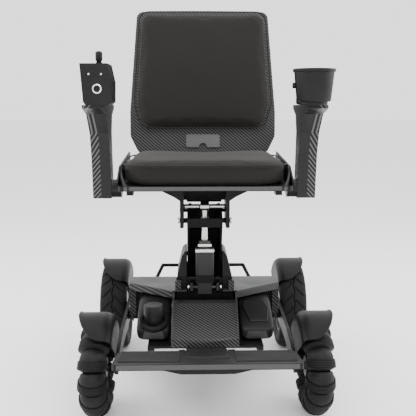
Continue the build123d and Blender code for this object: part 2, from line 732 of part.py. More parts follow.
def seat_pan():
    """Seat plate with side guards, arm hinge pins and the backrest's ears."""
    bottom = PAN_TOP - PAN_WALL
    pan = block(-SEAT_HALF, SEAT_HALF, SEAT_FRONT, SEAT_REAR, bottom, PAN_TOP)
    pan = fillet(pan.edges().filter_by(Axis.Z), 14)
    guard = [
        (90, bottom),
        (70, bottom + 20),
        (140, PAN_TOP + 44),
        (SEAT_REAR - 60, PAN_TOP + 62),
        (SEAT_REAR - 20, bottom),
    ]
    pan += both_sides(side_plate(guard, SEAT_HALF + 0.5, SEAT_HALF + 5))
    pan += both_sides(block(SEAT_HALF - 20, SEAT_HALF + 5, 100, SEAT_REAR - 30, bottom, bottom + 6))
    pin_y, pin_z = ARM_PIVOT
    lug = block(ARM_INNER - 58, ARM_INNER - 40, pin_y - 20, pin_y + 20, pin_z - 18, bottom)
    pan += both_sides(lug)
    pan += both_sides(cross_rod(ARM_PIVOT, ARM_INNER - 50, ARM_INNER - 6, ARM_PIN))
    ear = [
        (SEAT_REAR - 20, bottom),
        (SEAT_REAR - 20, PAN_TOP),
        (SEAT_REAR + 6, PAN_TOP),
        (RECLINE_PIVOT[0] - 12, RECLINE_PIVOT[1]),
        (RECLINE_PIVOT[0] - 8, RECLINE_PIVOT[1] + 10),
        (RECLINE_PIVOT[0] + 8, RECLINE_PIVOT[1] + 10),
        (RECLINE_PIVOT[0] + 12, RECLINE_PIVOT[1]),
        (RECLINE_PIVOT[0] + 12, bottom),
    ]
    ears = both_sides(side_plate(ear, 98, 110))
    return pan + ears - cross_rod(RECLINE_PIVOT, -130, 130, ACTUATOR_PIN + RUNNING)


def seat_cushion():
    """The seat cushion's plain solid."""
    inset = 1.0
    half, top = SEAT_HALF - inset, PAN_TOP + CUSHION_HEIGHT
    cushion = block(-half, half, SEAT_FRONT + 4, SEAT_REAR - 4, PAN_TOP + 0.3, top)
    cushion = fillet(cushion.edges().filter_by(Axis.Z), 40)
    return fillet(cushion.edges().group_by(Axis.Z)[-1], 16)


def back_plane():
    """The backrest's own frame on its front face: x across, y up the back, z to the rear."""
    tilt = radians(BACK_LEAN)
    return Plane(origin=spot((474, 624)), x_dir=(-1, 0, 0), z_dir=(0, cos(tilt), -sin(tilt)))


def back_outline(low, high, bottom, widest, top, radius):
    """A rounded backrest outline from its half widths at the bottom, low on the sides and at the top."""
    start, end = low + BACK_HEIGHT * 0.12, low + BACK_HEIGHT * 0.29
    half = [(bottom, low), (widest - 1, start), (widest, end), (top, high)]
    points = half + [(-x, y) for x, y in reversed(half)]
    sheet = make_face(Polyline(*points, close=True))
    return fillet(sheet.vertices(), radius)


def back_shell():
    """Moulded shell behind the cushion, with hinge lugs and pins at its foot."""
    outline = back_outline(0, BACK_HEIGHT, 198, BACK_HALF, BACK_HALF - 22, 22)
    shell = back_plane() * (Part() + extrude(outline, SHELL_WALL))
    lug = [
        (RECLINE_PIVOT[0] - 11, RECLINE_PIVOT[1] - 2),
        (RECLINE_PIVOT[0] - 14, 640),
        (RECLINE_PIVOT[0] + 6, 646),
        (RECLINE_PIVOT[0] + 11, RECLINE_PIVOT[1] - 2),
        (RECLINE_PIVOT[0], RECLINE_PIVOT[1] - 11),
    ]
    shell += both_sides(side_plate(lug, 112, 124))
    return shell + both_sides(cross_rod(RECLINE_PIVOT, 97, 126, ACTUATOR_PIN))


def back_cushion():
    """The back cushion's plain solid, 0.3 mm off the shell."""
    outline = back_outline(70, BACK_HEIGHT - 6, 197, BACK_HALF - 13, BACK_HALF - 36, 22)
    place = back_plane().offset(-BACK_CUSHION)
    return place * (Part() + extrude(outline, BACK_CUSHION - 0.3))


def back_latch():
    """Recline release paddle with a half-round finger notch, hinged at its top edge."""
    paddle = Pos(0, 38, -5) * Box(2 * LATCH_HALF, 40, 6)
    paddle = fillet(paddle.edges().filter_by(Axis.Z), 5)
    paddle -= Pos(0, 18, -5) * Cylinder(13, 20)
    return back_plane() * paddle


# ---------------------------------------------------------------- arms


def arm(side):
    """Hinged arm: knuckle round the seat's pin, leaning post and the pad's rail."""
    inner, outer = side * ARM_INNER, side * (ARM_INNER + ARM_WIDTH)
    post = [
        (206, 521),
        (258, 521),
        (262, 560),
        (250, 640),
        (244, 700),
        (262, 745),
        (PAD_REAR, 763),
        (PAD_REAR, ARM_TOP),
        (BOX_FRONT + 6, ARM_TOP),
        (BOX_FRONT + 6, 765),
        (120, 750),
        (172, 700),
        (192, 640),
        (203, 560),
    ]
    body = side_plate(post, inner, outer)
    knuckle = cross_rod(ARM_PIVOT, side * (SEAT_HALF + 7), inner + side, ARM_KNUCKLE)
    body += knuckle
    return body - cross_rod(ARM_PIVOT, side * (SEAT_HALF - 20), side * (ARM_INNER - 5), ARM_PIN + RUNNING)


def arm_pad(side):
    """The arm pad's plain solid."""
    inner = ARM_INNER + 3
    outer = inner + ARM_WIDTH - 3
    pad = block(side * inner, side * outer, PAD_FRONT, PAD_REAR + 4, ARM_TOP + 0.3, ARM_TOP + PAD_HEIGHT)
    pad = fillet(pad.edges().filter_by(Axis.Z), 14)
    return fillet(pad.edges().group_by(Axis.Z)[-1], 8)


STICK_X = -ARM_INNER - 9.5
STICK_BEHIND = BOX_FRONT + 40
STICK_HEIGHT = BOX_TOP - 14


def box_outline(inset):
    """The joystick case's (x, height) outline, moved in by an inset."""
    return [
        (STICK_X - 42.5 + inset, BOX_TOP - inset),
        (STICK_X + 25 - inset, BOX_TOP - inset),
        (STICK_X + 34 - inset, BOX_TOP - 43),
        (STICK_X + 33 - inset, ARM_TOP + inset + 8),
        (STICK_X + 25 - inset, ARM_TOP + inset),
        (STICK_X - 31 + inset, ARM_TOP + inset),
        (STICK_X - 36 + inset, ARM_TOP + inset + 8),
    ]


def joystick_housing():
    """Hollow joystick case with a throat for the stick, gimbal bosses and the button's ring."""
    case = front_plate(box_outline(0), BOX_FRONT, BOX_FRONT + BOX_DEPTH)
    case -= front_plate(box_outline(BOX_WALL), BOX_FRONT + BOX_WALL, BOX_FRONT + BOX_DEPTH - BOX_WALL)
    case -= rod((STICK_X, back(STICK_BEHIND), BOX_TOP - 8), (STICK_X, back(STICK_BEHIND), BOX_TOP + 5), 16)
    pivot = (STICK_BEHIND, STICK_HEIGHT)
    for sign in (-1, 1):
        near, far = STICK_X + sign * 17, STICK_X + sign * 24
        hanger = block(near, far, STICK_BEHIND - 5, STICK_BEHIND + 5, STICK_HEIGHT - 5, BOX_TOP - 1)
        case += hanger
    case -= cross_rod(pivot, STICK_X - 24.5, STICK_X + 24.5, 2.0 + RUNNING)
    button = button_centre()
    case += rod(button - Vector(0, 3, 0), button + Vector(0, BOX_WALL, 0), BUTTON_RADIUS + 4)
    return case - rod(button - Vector(0, 9, 0), button + Vector(0, 20, 0), BUTTON_RADIUS + 0.4)


def button_centre():
    """Centre of the power button on the case's front face."""
    return Vector(STICK_X - 1, back(BOX_FRONT), 812)


def power_button():
    """Push button in the case's front, with a retaining flange inside."""
    centre = button_centre()
    button = rod(centre - Vector(0, 1, 0), centre + Vector(0, 8, 0), BUTTON_RADIUS)
    return button + rod(centre + Vector(0, 5, 0), centre + Vector(0, 8, 0), BUTTON_RADIUS + 3)


def joystick_gimbal():
    """Ring that tips about X in the case and carries the stick about Y."""
    centre = Vector(STICK_X, back(STICK_BEHIND), STICK_HEIGHT)
    ring = rod(centre - Vector(0, 0, 4), centre + Vector(0, 0, 4), 14)
    ring -= rod(centre - Vector(0, 0, 9), centre + Vector(0, 0, 9), 10.5)
    for sign in (-1, 1):
        ring += rod(centre + Vector(sign * 13, 0, 0), centre + Vector(sign * 23, 0, 0), 2.0)
    return ring - rod(centre - Vector(0, 16, 0), centre + Vector(0, 16, 0), 2.0 + RUNNING)


def joystick():
    """Stick and knob on a trunnion ball."""
    centre = Vector(STICK_X, back(STICK_BEHIND), STICK_HEIGHT)
    stick = Pos(*centre) * Sphere(7)
    stick += rod(centre - Vector(0, 13.5, 0), centre + Vector(0, 13.5, 0), 2.0)
    stick += rod(centre, centre + Vector(0, 0, 26), STICK_RADIUS)
    knob_base = centre + Vector(0, 0, 21)
    knob = rod(knob_base, knob_base + Vector(0, 0, 25), KNOB_RADIUS)
    knob = fillet(knob.edges().group_by(Axis.Z)[-1], 4)
    return stick + knob


def cup_holder():
    """Tapered cup with a rim flange, a stepped foot on the arm and a clamp knob."""
    centre_x, behind = ARM_INNER + 10.5, 45.0
    floor = ARM_TOP + 10
    pairs = [
        (0, ARM_TOP),
        (34, ARM_TOP),
        (34, floor - 2),
        (CUP_FOOT, floor),
        (CUP_RIM - 1, CUP_TOP - 6),
        (CUP_RIM + 2, CUP_TOP - 6),
        (CUP_RIM + 2, CUP_TOP),
        (CUP_RIM - CUP_WALL, CUP_TOP),
        (CUP_FOOT - CUP_WALL, floor + 3),
        (0, floor + 3),
    ]
    origin = Vector(centre_x, back(behind), 0)
    cup = ring_of([origin + Vector(0, radius, height) for radius, height in pairs], origin, (0, 0, 1))
    knob_x = centre_x - (CUP_FOOT + CUP_RIM) / 2
    knob = rod((knob_x - 7, back(behind), 820), (knob_x + 1.5, back(behind), 820), 7)
    return cup + knob


# ---------------------------------------------------------------- footplate


def footplate():
    """Folding plate with hinge knuckles and an underside stiffener, tilted front edge up."""
    hinge = (HINGE_BEHIND, HINGE_HEIGHT)
    plane = Plane(origin=spot(hinge), x_dir=(1, 0, 0), z_dir=(0, sin(TILT), cos(TILT)))
    gap = 11.0
    plate = Pos(0, -gap - (FOOT_DEPTH - gap) / 2, 0) * Box(FOOT_WIDTH, FOOT_DEPTH - gap, FOOT_WALL)
    corners = plate.edges().filter_by(Axis.Z)
    plate = fillet(corners.group_by(Axis.Y)[-1], 26)
    plate = fillet(plate.edges().filter_by(Axis.Z).group_by(Axis.Y)[0], 10)
    knuckle = Pos(0, -6, 0) * Box(16, 18, 14)
    plate += Pos(NECK_HALF + 10, 0, 0) * knuckle + Pos(-NECK_HALF - 10, 0, 0) * knuckle
    low = -FOOT_WALL / 2
    keel = [(-115, low), (115, low), (60, low - 12), (-60, low - 12)]
    keel = Pos(0, -FOOT_DEPTH + 14, 0) * extrude(Plane.XZ * make_face(Polyline(*keel, close=True)), -40)
    plate += keel
    placed = plane * plate
    return placed - cross_rod(hinge, -90, 90, HINGE_PIN + RUNNING)


def build():
    """Every node's solid by name."""
    nodes = {
        "chassis_frame": chassis_frame(),
        "wheel_arms": wheel_arms(),
        "deck_cover": deck_cover(),
        "front_fascia": front_fascia(),
        "controller_pod": controller_pod(),
        "battery_pack": battery_pack(),
        "rear_bar": rear_bar(),
        "front_mudguards": front_guards(),
        "rear_mudguards": rear_guards(),
        "lift_tower": lift_tower(),
        "front_link": front_link(),
        "rear_link": rear_link(),
        "actuator_body": actuator_body(),
        "actuator_rod": actuator_rod(),
        "seat_carriage": seat_carriage(),
        "seat_pan": seat_pan(),
        "seat_cushion": seat_cushion(),
        "back_shell": back_shell(),
        "back_cushion": back_cushion(),
        "back_latch": back_latch(),
        "joystick_housing": joystick_housing(),
        "joystick_gimbal": joystick_gimbal(),
        "joystick": joystick(),
        "power_button": power_button(),
        "cup_holder": cup_holder(),
        "footplate": footplate(),
    }
    blank = roller()
    for name, side in SIDES.items():
        nodes[f"{name}_arm"] = arm(side)
        nodes[f"{name}_arm_pad"] = arm_pad(side)
        nodes[f"{name}_omni_hub"] = omni_hub(side)
        nodes[f"{name}_rear_rim"] = rear_rim(side)
        nodes[f"{name}_rear_tyre"] = rear_tyre(side)
        for index in range(ROLLER_COUNT):
            nodes[f"{name}_roller_{index + 1:02d}"] = roller_plane(side, index) * blank
    return nodes


os.makedirs("parts", exist_ok=True)
for node, solid in build().items():
    export_step(solid, os.path.join("parts", node + ".step"))
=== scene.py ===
"""Power wheelchair: the visual model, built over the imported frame, in metres."""

import json
import logging
import math
from dataclasses import dataclass, field
from enum import Enum

import bmesh
import bpy
import numpy as np
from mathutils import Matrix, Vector


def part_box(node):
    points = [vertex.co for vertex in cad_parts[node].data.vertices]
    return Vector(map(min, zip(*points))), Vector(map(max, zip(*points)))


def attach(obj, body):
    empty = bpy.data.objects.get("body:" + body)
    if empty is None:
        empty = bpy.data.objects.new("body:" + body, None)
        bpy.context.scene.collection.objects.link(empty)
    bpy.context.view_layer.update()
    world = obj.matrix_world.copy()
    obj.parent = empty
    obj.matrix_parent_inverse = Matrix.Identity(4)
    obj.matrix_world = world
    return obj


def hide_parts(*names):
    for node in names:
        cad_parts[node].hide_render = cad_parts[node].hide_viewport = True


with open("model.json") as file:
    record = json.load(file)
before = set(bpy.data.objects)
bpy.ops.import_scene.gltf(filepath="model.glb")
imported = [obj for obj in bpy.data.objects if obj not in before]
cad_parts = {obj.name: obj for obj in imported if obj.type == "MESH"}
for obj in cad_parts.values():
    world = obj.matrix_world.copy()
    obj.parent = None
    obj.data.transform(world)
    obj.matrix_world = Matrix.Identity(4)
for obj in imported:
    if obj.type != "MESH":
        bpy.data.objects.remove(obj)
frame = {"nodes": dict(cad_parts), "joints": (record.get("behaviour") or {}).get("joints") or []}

LOG = logging.getLogger("wheelchair")
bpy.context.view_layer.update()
JOINTS = {joint["name"]: joint for joint in frame["joints"]}
FRONT_AXLE_Y = JOINTS["right_omni_hub_spin"]["pos_m"][1]

Grid = np.ndarray  # rows x columns x 3, in metres
Patch = tuple[np.ndarray, np.ndarray]  # vertices, quads
Colour = tuple[float, float, float, float]  # linear red, green, blue, alpha


class Side(Enum):
    """The two sides of the chair, by the sign of x."""

    RIGHT = -1
    LEFT = 1

    @property
    def word(self) -> str:
        """The side's name as the frame's nodes use it."""
        return self.name.lower()


class Axis(Enum):
    """A direction that a finish's streaks run along."""

    X = 0
    Y = 1
    Z = 2


def back(distance: float) -> float:
    """Gives the y of a place that far behind the front axle.

    Args:
        distance: Metres behind the front wheels' axle.

    Returns:
        The frame's y.
    """
    return FRONT_AXLE_Y + distance


# ---------------------------------------------------------------- surfaces


def grid_patch(points: Grid, wrap_rows: bool = False, wrap_columns: bool = False) -> Patch:
    """Turns a grid of points into quads, each between a point and its three next neighbours.

    Args:
        points: The surface sampled as rows by columns.
        wrap_rows: Whether the last row joins the first.
        wrap_columns: Whether the last column joins the first.

    Returns:
        The flattened vertices and the quads.
    """
    rows, columns = points.shape[:2]
    i = np.arange(rows if wrap_rows else rows - 1)[:, None]
    j = np.arange(columns if wrap_columns else columns - 1)[None, :]
    i2, j2 = (i + 1) % rows, (j + 1) % columns
    quads = np.stack([i * columns + j, i * columns + j2, i2 * columns + j2, i2 * columns + j], axis=-1)
    return points.reshape(-1, 3), quads.reshape(-1, 4)


def joined(patches: list[Patch]) -> Patch:
    """Puts patches into one, shifting each one's quads past the vertices before it.

    Args:
        patches: The patches to join.

    Returns:
        One patch.
    """
    counts = np.cumsum([0] + [len(vertices) for vertices, _ in patches[:-1]])
    quads = [faces + start for (_, faces), start in zip(patches, counts)]
    return np.concatenate([vertices for vertices, _ in patches]), np.concatenate(quads)


def make_piece(name: str, patch: Patch, sharp: float = 35.0) -> bpy.types.Object:
    """Makes a mesh object of a patch, merges its poles and turns its faces outwards.

    Args:
        name: The piece's name.
        patch: Vertices and quads in the frame's metres.
        sharp: Degrees over which an edge stays sharp.

    Returns:
        The object, at the origin.
    """
    mesh = bpy.data.meshes.new(name)
    mesh.from_pydata(patch[0].tolist(), [], patch[1].tolist())
    body = bmesh.new()
    body.from_mesh(mesh)
    bmesh.ops.remove_doubles(body, verts=body.verts, dist=2e-6)
    bmesh.ops.dissolve_degenerate(body, edges=body.edges, dist=1e-7)
    bmesh.ops.recalc_face_normals(body, faces=body.faces)
    body.to_mesh(mesh)
    body.free()
    mesh.shade_smooth()
    mesh.set_sharp_from_angle(angle=math.radians(sharp))
    piece = bpy.data.objects.new(name, mesh)
    bpy.context.scene.collection.objects.link(piece)
    return piece


def revolve(profile: np.ndarray, origin: np.ndarray, axis: np.ndarray, steps: int = 64) -> Patch:
    """Turns a (radius, height) profile about an axis: origin + height * axis + radius * (cos, sin).

    Args:
        profile: Rows of radius and height.
        origin: A point on the axis.
        axis: The axis direction.
        steps: Points round the turn.

    Returns:
        The surface of revolution.
    """
    axis = np.asarray(axis, float) / np.linalg.norm(axis)
    helper = np.array([1.0, 0, 0]) if abs(axis[0]) < 0.9 else np.array([0, 1.0, 0])
    first = np.cross(axis, helper)
    first /= np.linalg.norm(first)
    second = np.cross(axis, first)
    turn = np.linspace(0, 2 * np.pi, steps, endpoint=False)[:, None, None]
    around = np.cos(turn) * first + np.sin(turn) * second
    points = np.asarray(origin) + profile[None, :, 1:2] * axis + profile[None, :, 0:1] * around
    return grid_patch(points, wrap_rows=True)


def sweep(section: Grid, starts: np.ndarray) -> Patch:
    """Carries a closed section along a list of shifts, and closes both ends on their centres.

    Args:
        section: The section's points, n x 3, or one section per shift, m x n x 3.
        starts: The shift of each copy, m x 3.

    Returns:
        A closed tube.
    """
    points = section + starts[:, None, :]
    first = np.repeat(points[0].mean(0)[None, None], points.shape[1], axis=1)
    last = np.repeat(points[-1].mean(0)[None, None], points.shape[1], axis=1)
    return grid_patch(np.concatenate([first, points, last]), wrap_columns=True)


def bolt(centre: tuple, axis: tuple, radius: float, height: float) -> Patch:
    """A screw head: a domed disc with a round recess, turned about its axis.

    Args:
        centre: The middle of its seat.
        axis: The way it faces.
        radius: The head's radius.
        height: The head's height.

    Returns:
        The head's surface.
    """
    shares = [(0, 0), (1, 0), (1, 0.6), (0.85, 1), (0.5, 1), (0.46, 0.45), (0, 0.4)]
    profile = np.array(shares) * np.array([radius, height])
    return revolve(profile, np.array(centre), np.array(axis), 24)


# ---------------------------------------------------------------- materials


def linear(code: str) -> Colour:
    """Turns an sRGB hex colour to linear values.

    Args:
        code: Six hex digits after a hash.

    Returns:
        Linear red, green, blue and an alpha of 1.
    """
    parts = np.array([int(code[at : at + 2], 16) for at in (1, 3, 5)]) / 255
    parts = np.where(parts <= 0.04045, parts / 12.92, ((parts + 0.055) / 1.055) ** 2.4)
    return (*parts.tolist(), 1.0)


def add_node(tree: bpy.types.NodeTree, kind: str, settings: dict, inputs: dict) -> bpy.types.Node:
    """Adds a node, sets its properties, and fills or links its inputs.

    Args:
        tree: The node tree.
        kind: Blender's node type.
        settings: Properties by name.
        inputs: Values or output sockets by input name or number.

    Returns:
        The new node.
    """
    node = tree.nodes.new(kind)
    for key, value in settings.items():
        setattr(node, key, value)
    for key, value in inputs.items():
        if isinstance(value, bpy.types.NodeSocket):
            tree.links.new(value, node.inputs[key])
        else:
            node.inputs[key].default_value = value
    return node


def new_tree(name: str) -> tuple[bpy.types.Material, bpy.types.NodeTree, bpy.types.NodeSocket]:
    """Starts a material.

    Args:
        name: The material's name.

    Returns:
        The material, its empty tree and the object coordinates.
    """
    material = bpy.data.materials.new(name)
    material.use_nodes = True
    material.node_tree.nodes.clear()
    place = add_node(material.node_tree, "ShaderNodeTexCoord", {}, {})
    return material, material.node_tree, place.outputs["Object"]


def close_tree(tree: bpy.types.NodeTree, inputs: dict) -> bpy.types.Node:
    """Adds the shader and the output.

    Args:
        tree: The node tree.
        inputs: The shader's values and links.

    Returns:
        The shader.
    """
    shader = add_node(tree, "ShaderNodeBsdfPrincipled", {}, inputs)
    add_node(tree, "ShaderNodeOutputMaterial", {}, {"Surface": shader.outputs[0]})
    return shader


def blend_colours(
    tree: bpy.types.NodeTree,
    share: bpy.types.NodeSocket,
    first: Colour | bpy.types.NodeSocket,
    second: Colour | bpy.types.NodeSocket,
) -> bpy.types.NodeSocket:
    """Mixes two colours by a share.

    Args:
        tree: The node tree.
        share: How much of the second colour shows, from 0 to 1.
        first: A linear colour or a colour socket.
        second: A linear colour or a colour socket.

    Returns:
        The mixed colour's socket.
    """
    mix = add_node(tree, "ShaderNodeMix", {"data_type": "RGBA"}, {0: share, 6: first, 7: second})
    return mix.outputs[2]


@dataclass(frozen=True)
class Grained:
    """A moulded or coated surface: fine grain in the bump, slow drift in tone and gloss.

    The specular level is under the usual 0.5, because the white room would grey a dark surface.
    """

    name: str
    tone: str
    worn: str
    roughness: float
    grain_mm: float = 0.9
    relief_mm: float = 0.05
    specular: float = 0.16

    def make(self) -> bpy.types.Material:
        """Builds the material.

        Returns:
            The material.
        """
        material, tree, place = new_tree(self.name)
        grain = add_node(
            tree, "ShaderNodeTexNoise", {}, {"Vector": place, "Scale": 1000 / self.grain_mm, "Detail": 2.0}
        )
        drift = add_node(tree, "ShaderNodeTexNoise", {}, {"Vector": place, "Scale": 14.0, "Detail": 4.0})
        share = add_node(
            tree, "ShaderNodeMapRange", {}, {0: drift.outputs["Fac"], 1: 0.35, 2: 0.7, 3: 0.0, 4: 0.55}
        )
        gloss = add_node(
            tree,
            "ShaderNodeMapRange",
            {},
            {0: drift.outputs["Fac"], 1: 0.3, 2: 0.7, 3: self.roughness - 0.05, 4: self.roughness + 0.07},
        )
        bump = add_node(
            tree,
            "ShaderNodeBump",
            {},
            {"Height": grain.outputs["Fac"], "Strength": 0.35, "Distance": self.relief_mm / 1000},
        )
        colour = blend_colours(tree, share.outputs[0], linear(self.tone), linear(self.worn))
        close_tree(
            tree,
            {
                "Base Color": colour,
                "Roughness": gloss.outputs[0],
                "Specular IOR Level": self.specular,
                "Normal": bump.outputs[0],
            },
        )
        return material


@dataclass(frozen=True)
class Brushed:
    """Metal with fine streaks along one axis, from a belt or a lathe."""

    name: str
    tone: str
    roughness: float
    along: Axis = Axis.X
    streak_mm: float = 0.7

    def make(self) -> bpy.types.Material:
        """Builds the material: noise squeezed across the streaks drives gloss and tone.

        Returns:
            The material.
        """
        material, tree, place = new_tree(self.name)
        scale = [1000 / self.streak_mm] * 3
        scale[self.along.value] = 12.0
        stretched = add_node(tree, "ShaderNodeMapping", {}, {"Vector": place, "Scale": scale})
        streaks = add_node(
            tree, "ShaderNodeTexNoise", {}, {"Vector": stretched.outputs[0], "Scale": 1.0, "Detail": 3.0}
        )
        gloss = add_node(
            tree,
            "ShaderNodeMapRange",
            {},
            {0: streaks.outputs["Fac"], 1: 0.3, 2: 0.7, 3: self.roughness - 0.07, 4: self.roughness + 0.1},
        )
        bump = add_node(
            tree,
            "ShaderNodeBump",
            {},
            {"Height": streaks.outputs["Fac"], "Strength": 0.25, "Distance": 0.00004},
        )
        close_tree(
            tree,
            {
                "Base Color": linear(self.tone),
                "Metallic": 1.0,
                "Roughness": gloss.outputs[0],
                "Normal": bump.outputs[0],
            },
        )
        return material


@dataclass(frozen=True)
class Twill:
    """Carbon-look film under clear coat: diagonal ribs of a 2 x 2 twill, drawn 8 mm apart.

    A real tow is 2 mm wide, too fine to show at this size, so the ribs are drawn coarser.
    """

    name: str
    tone: str
    rib: str
    pitch_mm: float = 8.0
    plain_inside: float = 0.0
    plain: str = "#151515"
    mirrored: bool = True

    def make(self) -> bpy.types.Material:
        """Builds the material: a sine of x or |x| + y + z over the pitch, sharpened, picks the tow's tone.

        Returns:
            The material.
        """
        material, tree, place = new_tree(self.name)
        parts = add_node(tree, "ShaderNodeSeparateXYZ", {}, {0: place})
        side = add_node(tree, "ShaderNodeMath", {"operation": "ABSOLUTE"}, {0: parts.outputs[0]})
        across = side.outputs[0] if self.mirrored else parts.outputs[0]
        first = add_node(tree, "ShaderNodeMath", {"operation": "ADD"}, {0: across, 1: parts.outputs[2]})
        both = add_node(
            tree, "ShaderNodeMath", {"operation": "ADD"}, {0: first.outputs[0], 1: parts.outputs[1]}
        )
        phase = add_node(
            tree,
            "ShaderNodeMath",
            {"operation": "MULTIPLY"},
            {0: both.outputs[0], 1: 2 * math.pi * 1000 / (self.pitch_mm * math.sqrt(2))},
        )
        wave = add_node(tree, "ShaderNodeMath", {"operation": "SINE"}, {0: phase.outputs[0]})
        rib = add_node(tree, "ShaderNodeMapRange", {}, {0: wave.outputs[0], 1: -0.1, 2: 0.6, 3: 0.0, 4: 1.0})
        colour = blend_colours(tree, rib.outputs[0], linear(self.tone), linear(self.rib))
        if self.plain_inside:
            outside = add_node(
                tree,
                "ShaderNodeMath",
                {"operation": "GREATER_THAN"},
                {0: side.outputs[0], 1: self.plain_inside},
            )
            colour = blend_colours(tree, outside.outputs[0], linear(self.plain), colour)
        bump = add_node(
            tree, "ShaderNodeBump", {}, {"Height": rib.outputs[0], "Strength": 0.3, "Distance": 0.0002}
        )
        close_tree(
            tree,
            {
                "Base Color": colour,
                "Roughness": 0.42,
                "Specular IOR Level": 0.16,
                "Coat Weight": 0.12,
                "Coat Roughness": 0.25,
                "Normal": bump.outputs[0],
            },
        )
        return material


@dataclass(frozen=True)
class Woven:
    """Spacer mesh cloth: crossed threads in tone and bump, with sheen.

    The real mesh repeats every 1.5 mm; it is drawn at the coarser pitch given so that it shows.
    """

    name: str
    tone: str
    thread: str
    pitch_mm: float = 3.6

    def make(self) -> bpy.types.Material:
        """Builds the material: the product of sines of x and of y + z over the pitch.

        Returns:
            The material.
        """
        material, tree, place = new_tree(self.name)
        parts = add_node(tree, "ShaderNodeSeparateXYZ", {}, {0: place})
        up = add_node(
            tree, "ShaderNodeMath", {"operation": "ADD"}, {0: parts.outputs[1], 1: parts.outputs[2]}
        )
        turns = 2 * math.pi * 1000 / self.pitch_mm
        waves = []
        for source in (parts.outputs[0], up.outputs[0]):
            phase = add_node(tree, "ShaderNodeMath", {"operation": "MULTIPLY"}, {0: source, 1: turns})
            waves.append(add_node(tree, "ShaderNodeMath", {"operation": "SINE"}, {0: phase.outputs[0]}))
        cross = add_node(
            tree,
            "ShaderNodeMath",
            {"operation": "MULTIPLY"},
            {0: waves[0].outputs[0], 1: waves[1].outputs[0]},
        )
        height = add_node(
            tree, "ShaderNodeMapRange", {}, {0: cross.outputs[0], 1: -1.0, 2: 1.0, 3: 0.0, 4: 1.0}
        )
        drift = add_node(tree, "ShaderNodeTexNoise", {}, {"Vector": place, "Scale": 9.0, "Detail": 3.0})
        dusty = add_node(
            tree, "ShaderNodeMapRange", {}, {0: drift.outputs["Fac"], 1: 0.3, 2: 0.75, 3: 0.0, 4: 0.3}
        )
        weave = blend_colours(tree, height.outputs[0], linear(self.tone), linear(self.thread))
        colour = blend_colours(tree, dusty.outputs[0], weave, linear(self.thread))
        bump = add_node(
            tree, "ShaderNodeBump", {}, {"Height": height.outputs[0], "Strength": 0.4, "Distance": 0.0004}
        )
        close_tree(
            tree,
            {
                "Base Color": colour,
                "Roughness": 0.9,
                "Specular IOR Level": 0.3,
                "Sheen Weight": 0.05,
                "Sheen Roughness": 0.5,
                "Normal": bump.outputs[0],
            },
        )
        return material


@dataclass
class Finishes:
    """Every finish of the chair, built once."""

    # Injection-moulded ABS: dark, satin, with a spark-eroded grain that breaks up highlights.
    abs_satin: Grained = Grained("abs_satin_moulded", "#121213", "#1a1a1a", 0.44, 0.9)
    # Glass-filled nylon guards, moulded: a shade darker than the cases, with a soft gloss.
    guard_nylon: Grained = Grained("nylon_guard_moulded", "#0c0c0d", "#131313", 0.44, 1.0, specular=0.11)
    # Powder-coated steel: slight orange peel, near black.
    powder_black: Grained = Grained("steel_powder_coated", "#0b0b0b", "#141414", 0.42, 2.0, 0.08)
    # Satin-painted aluminium deck.
    deck_paint: Grained = Grained("aluminium_satin_painted", "#242526", "#2e2f30", 0.42, 1.6, specular=0.3)
    # Natural and carbon-filled rubber, moulded: dull, with wear that lightens it.
    tyre_rubber: Grained = Grained("tyre_rubber_moulded", "#111112", "#1c1c1c", 0.72, 0.8, 0.08)
    roller_rubber: Grained = Grained("roller_rubber_moulded", "#0f0f0f", "#1a1a1a", 0.56, 0.9)
    # Skinned polyurethane foam.
    foam_skin: Grained = Grained("polyurethane_skinned_foam", "#0e0e0e", "#161616", 0.62, 1.2, 0.1)
    carbon: Twill = Twill("carbon_look_film", "#040404", "#3c3c3c", mirrored=False)
    arm_carbon: Twill = Twill("carbon_look_film_half", "#030303", "#565656", plain_inside=0.281)
    mesh_cloth: Woven = Woven("polyester_spacer_mesh_woven", "#0a0908", "#191613")
    anodised: Brushed = Brushed("aluminium_anodised_brushed", "#4c4c4c", 0.45, Axis.X)
    turned: Brushed = Brushed("steel_turned_polished", "#c4c4c2", 0.22, Axis.Z)
    cast: Brushed = Brushed("aluminium_die_cast_blasted", "#3a3a3a", 0.42, Axis.Z, 1.4)
    chrome: Brushed = Brushed("chrome_plated", "#dcdcdc", 0.12, Axis.X, 2.0)
    made: dict = field(default_factory=dict)

    def of(self, finish: Grained | Brushed | Twill | Woven) -> bpy.types.Material:
        """Gives a finish's material, building it at its first use.

        Args:
            finish: One of the finishes above.

        Returns:
            Its material.
        """
        if finish.name not in self.made:
            self.made[finish.name] = finish.make()
        return self.made[finish.name]


FINISH = Finishes()


def dress(piece: bpy.types.Object, finish: str) -> bpy.types.Object:
    """Gives a piece its only material.

    Args:
        piece: The piece or CAD node.
        finish: A field name of Finishes.

    Returns:
        The piece.
    """
    piece.data.materials.clear()
    piece.data.materials.append(FINISH.of(getattr(FINISH, finish)))
    return piece


def place_piece(piece: bpy.types.Object, finish: str, body: str, *nodes: str) -> bpy.types.Object:
    """Dresses a new piece, sets the body it rides on and the nodes it stands for.

    Args:
        piece: The new piece.
        finish: A field name of Finishes.
        body: The CAD body.
        nodes: CAD nodes that the piece replaces.

    Returns:
        The piece.
    """
    dress(piece, finish)
    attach(piece, body)
    if nodes:
        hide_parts(*nodes)
    LOG.info("piece %s on %s", piece.name, body)
    return piece


def break_edges(piece: bpy.types.Object, width: float, segments: int = 2, angle: float = 30.0) -> None:
    """Rounds a piece's sharp edges with a live bevel.

    Args:
        piece: The piece.
        width: The bevel's width in metres.
        segments: Faces across the bevel.
        angle: Degrees between faces over which an edge counts as sharp.
    """
    bevel = piece.modifiers.new("edges", "BEVEL")
    bevel.width, bevel.segments = width, segments
    bevel.limit_method, bevel.angle_limit = "ANGLE", math.radians(angle)


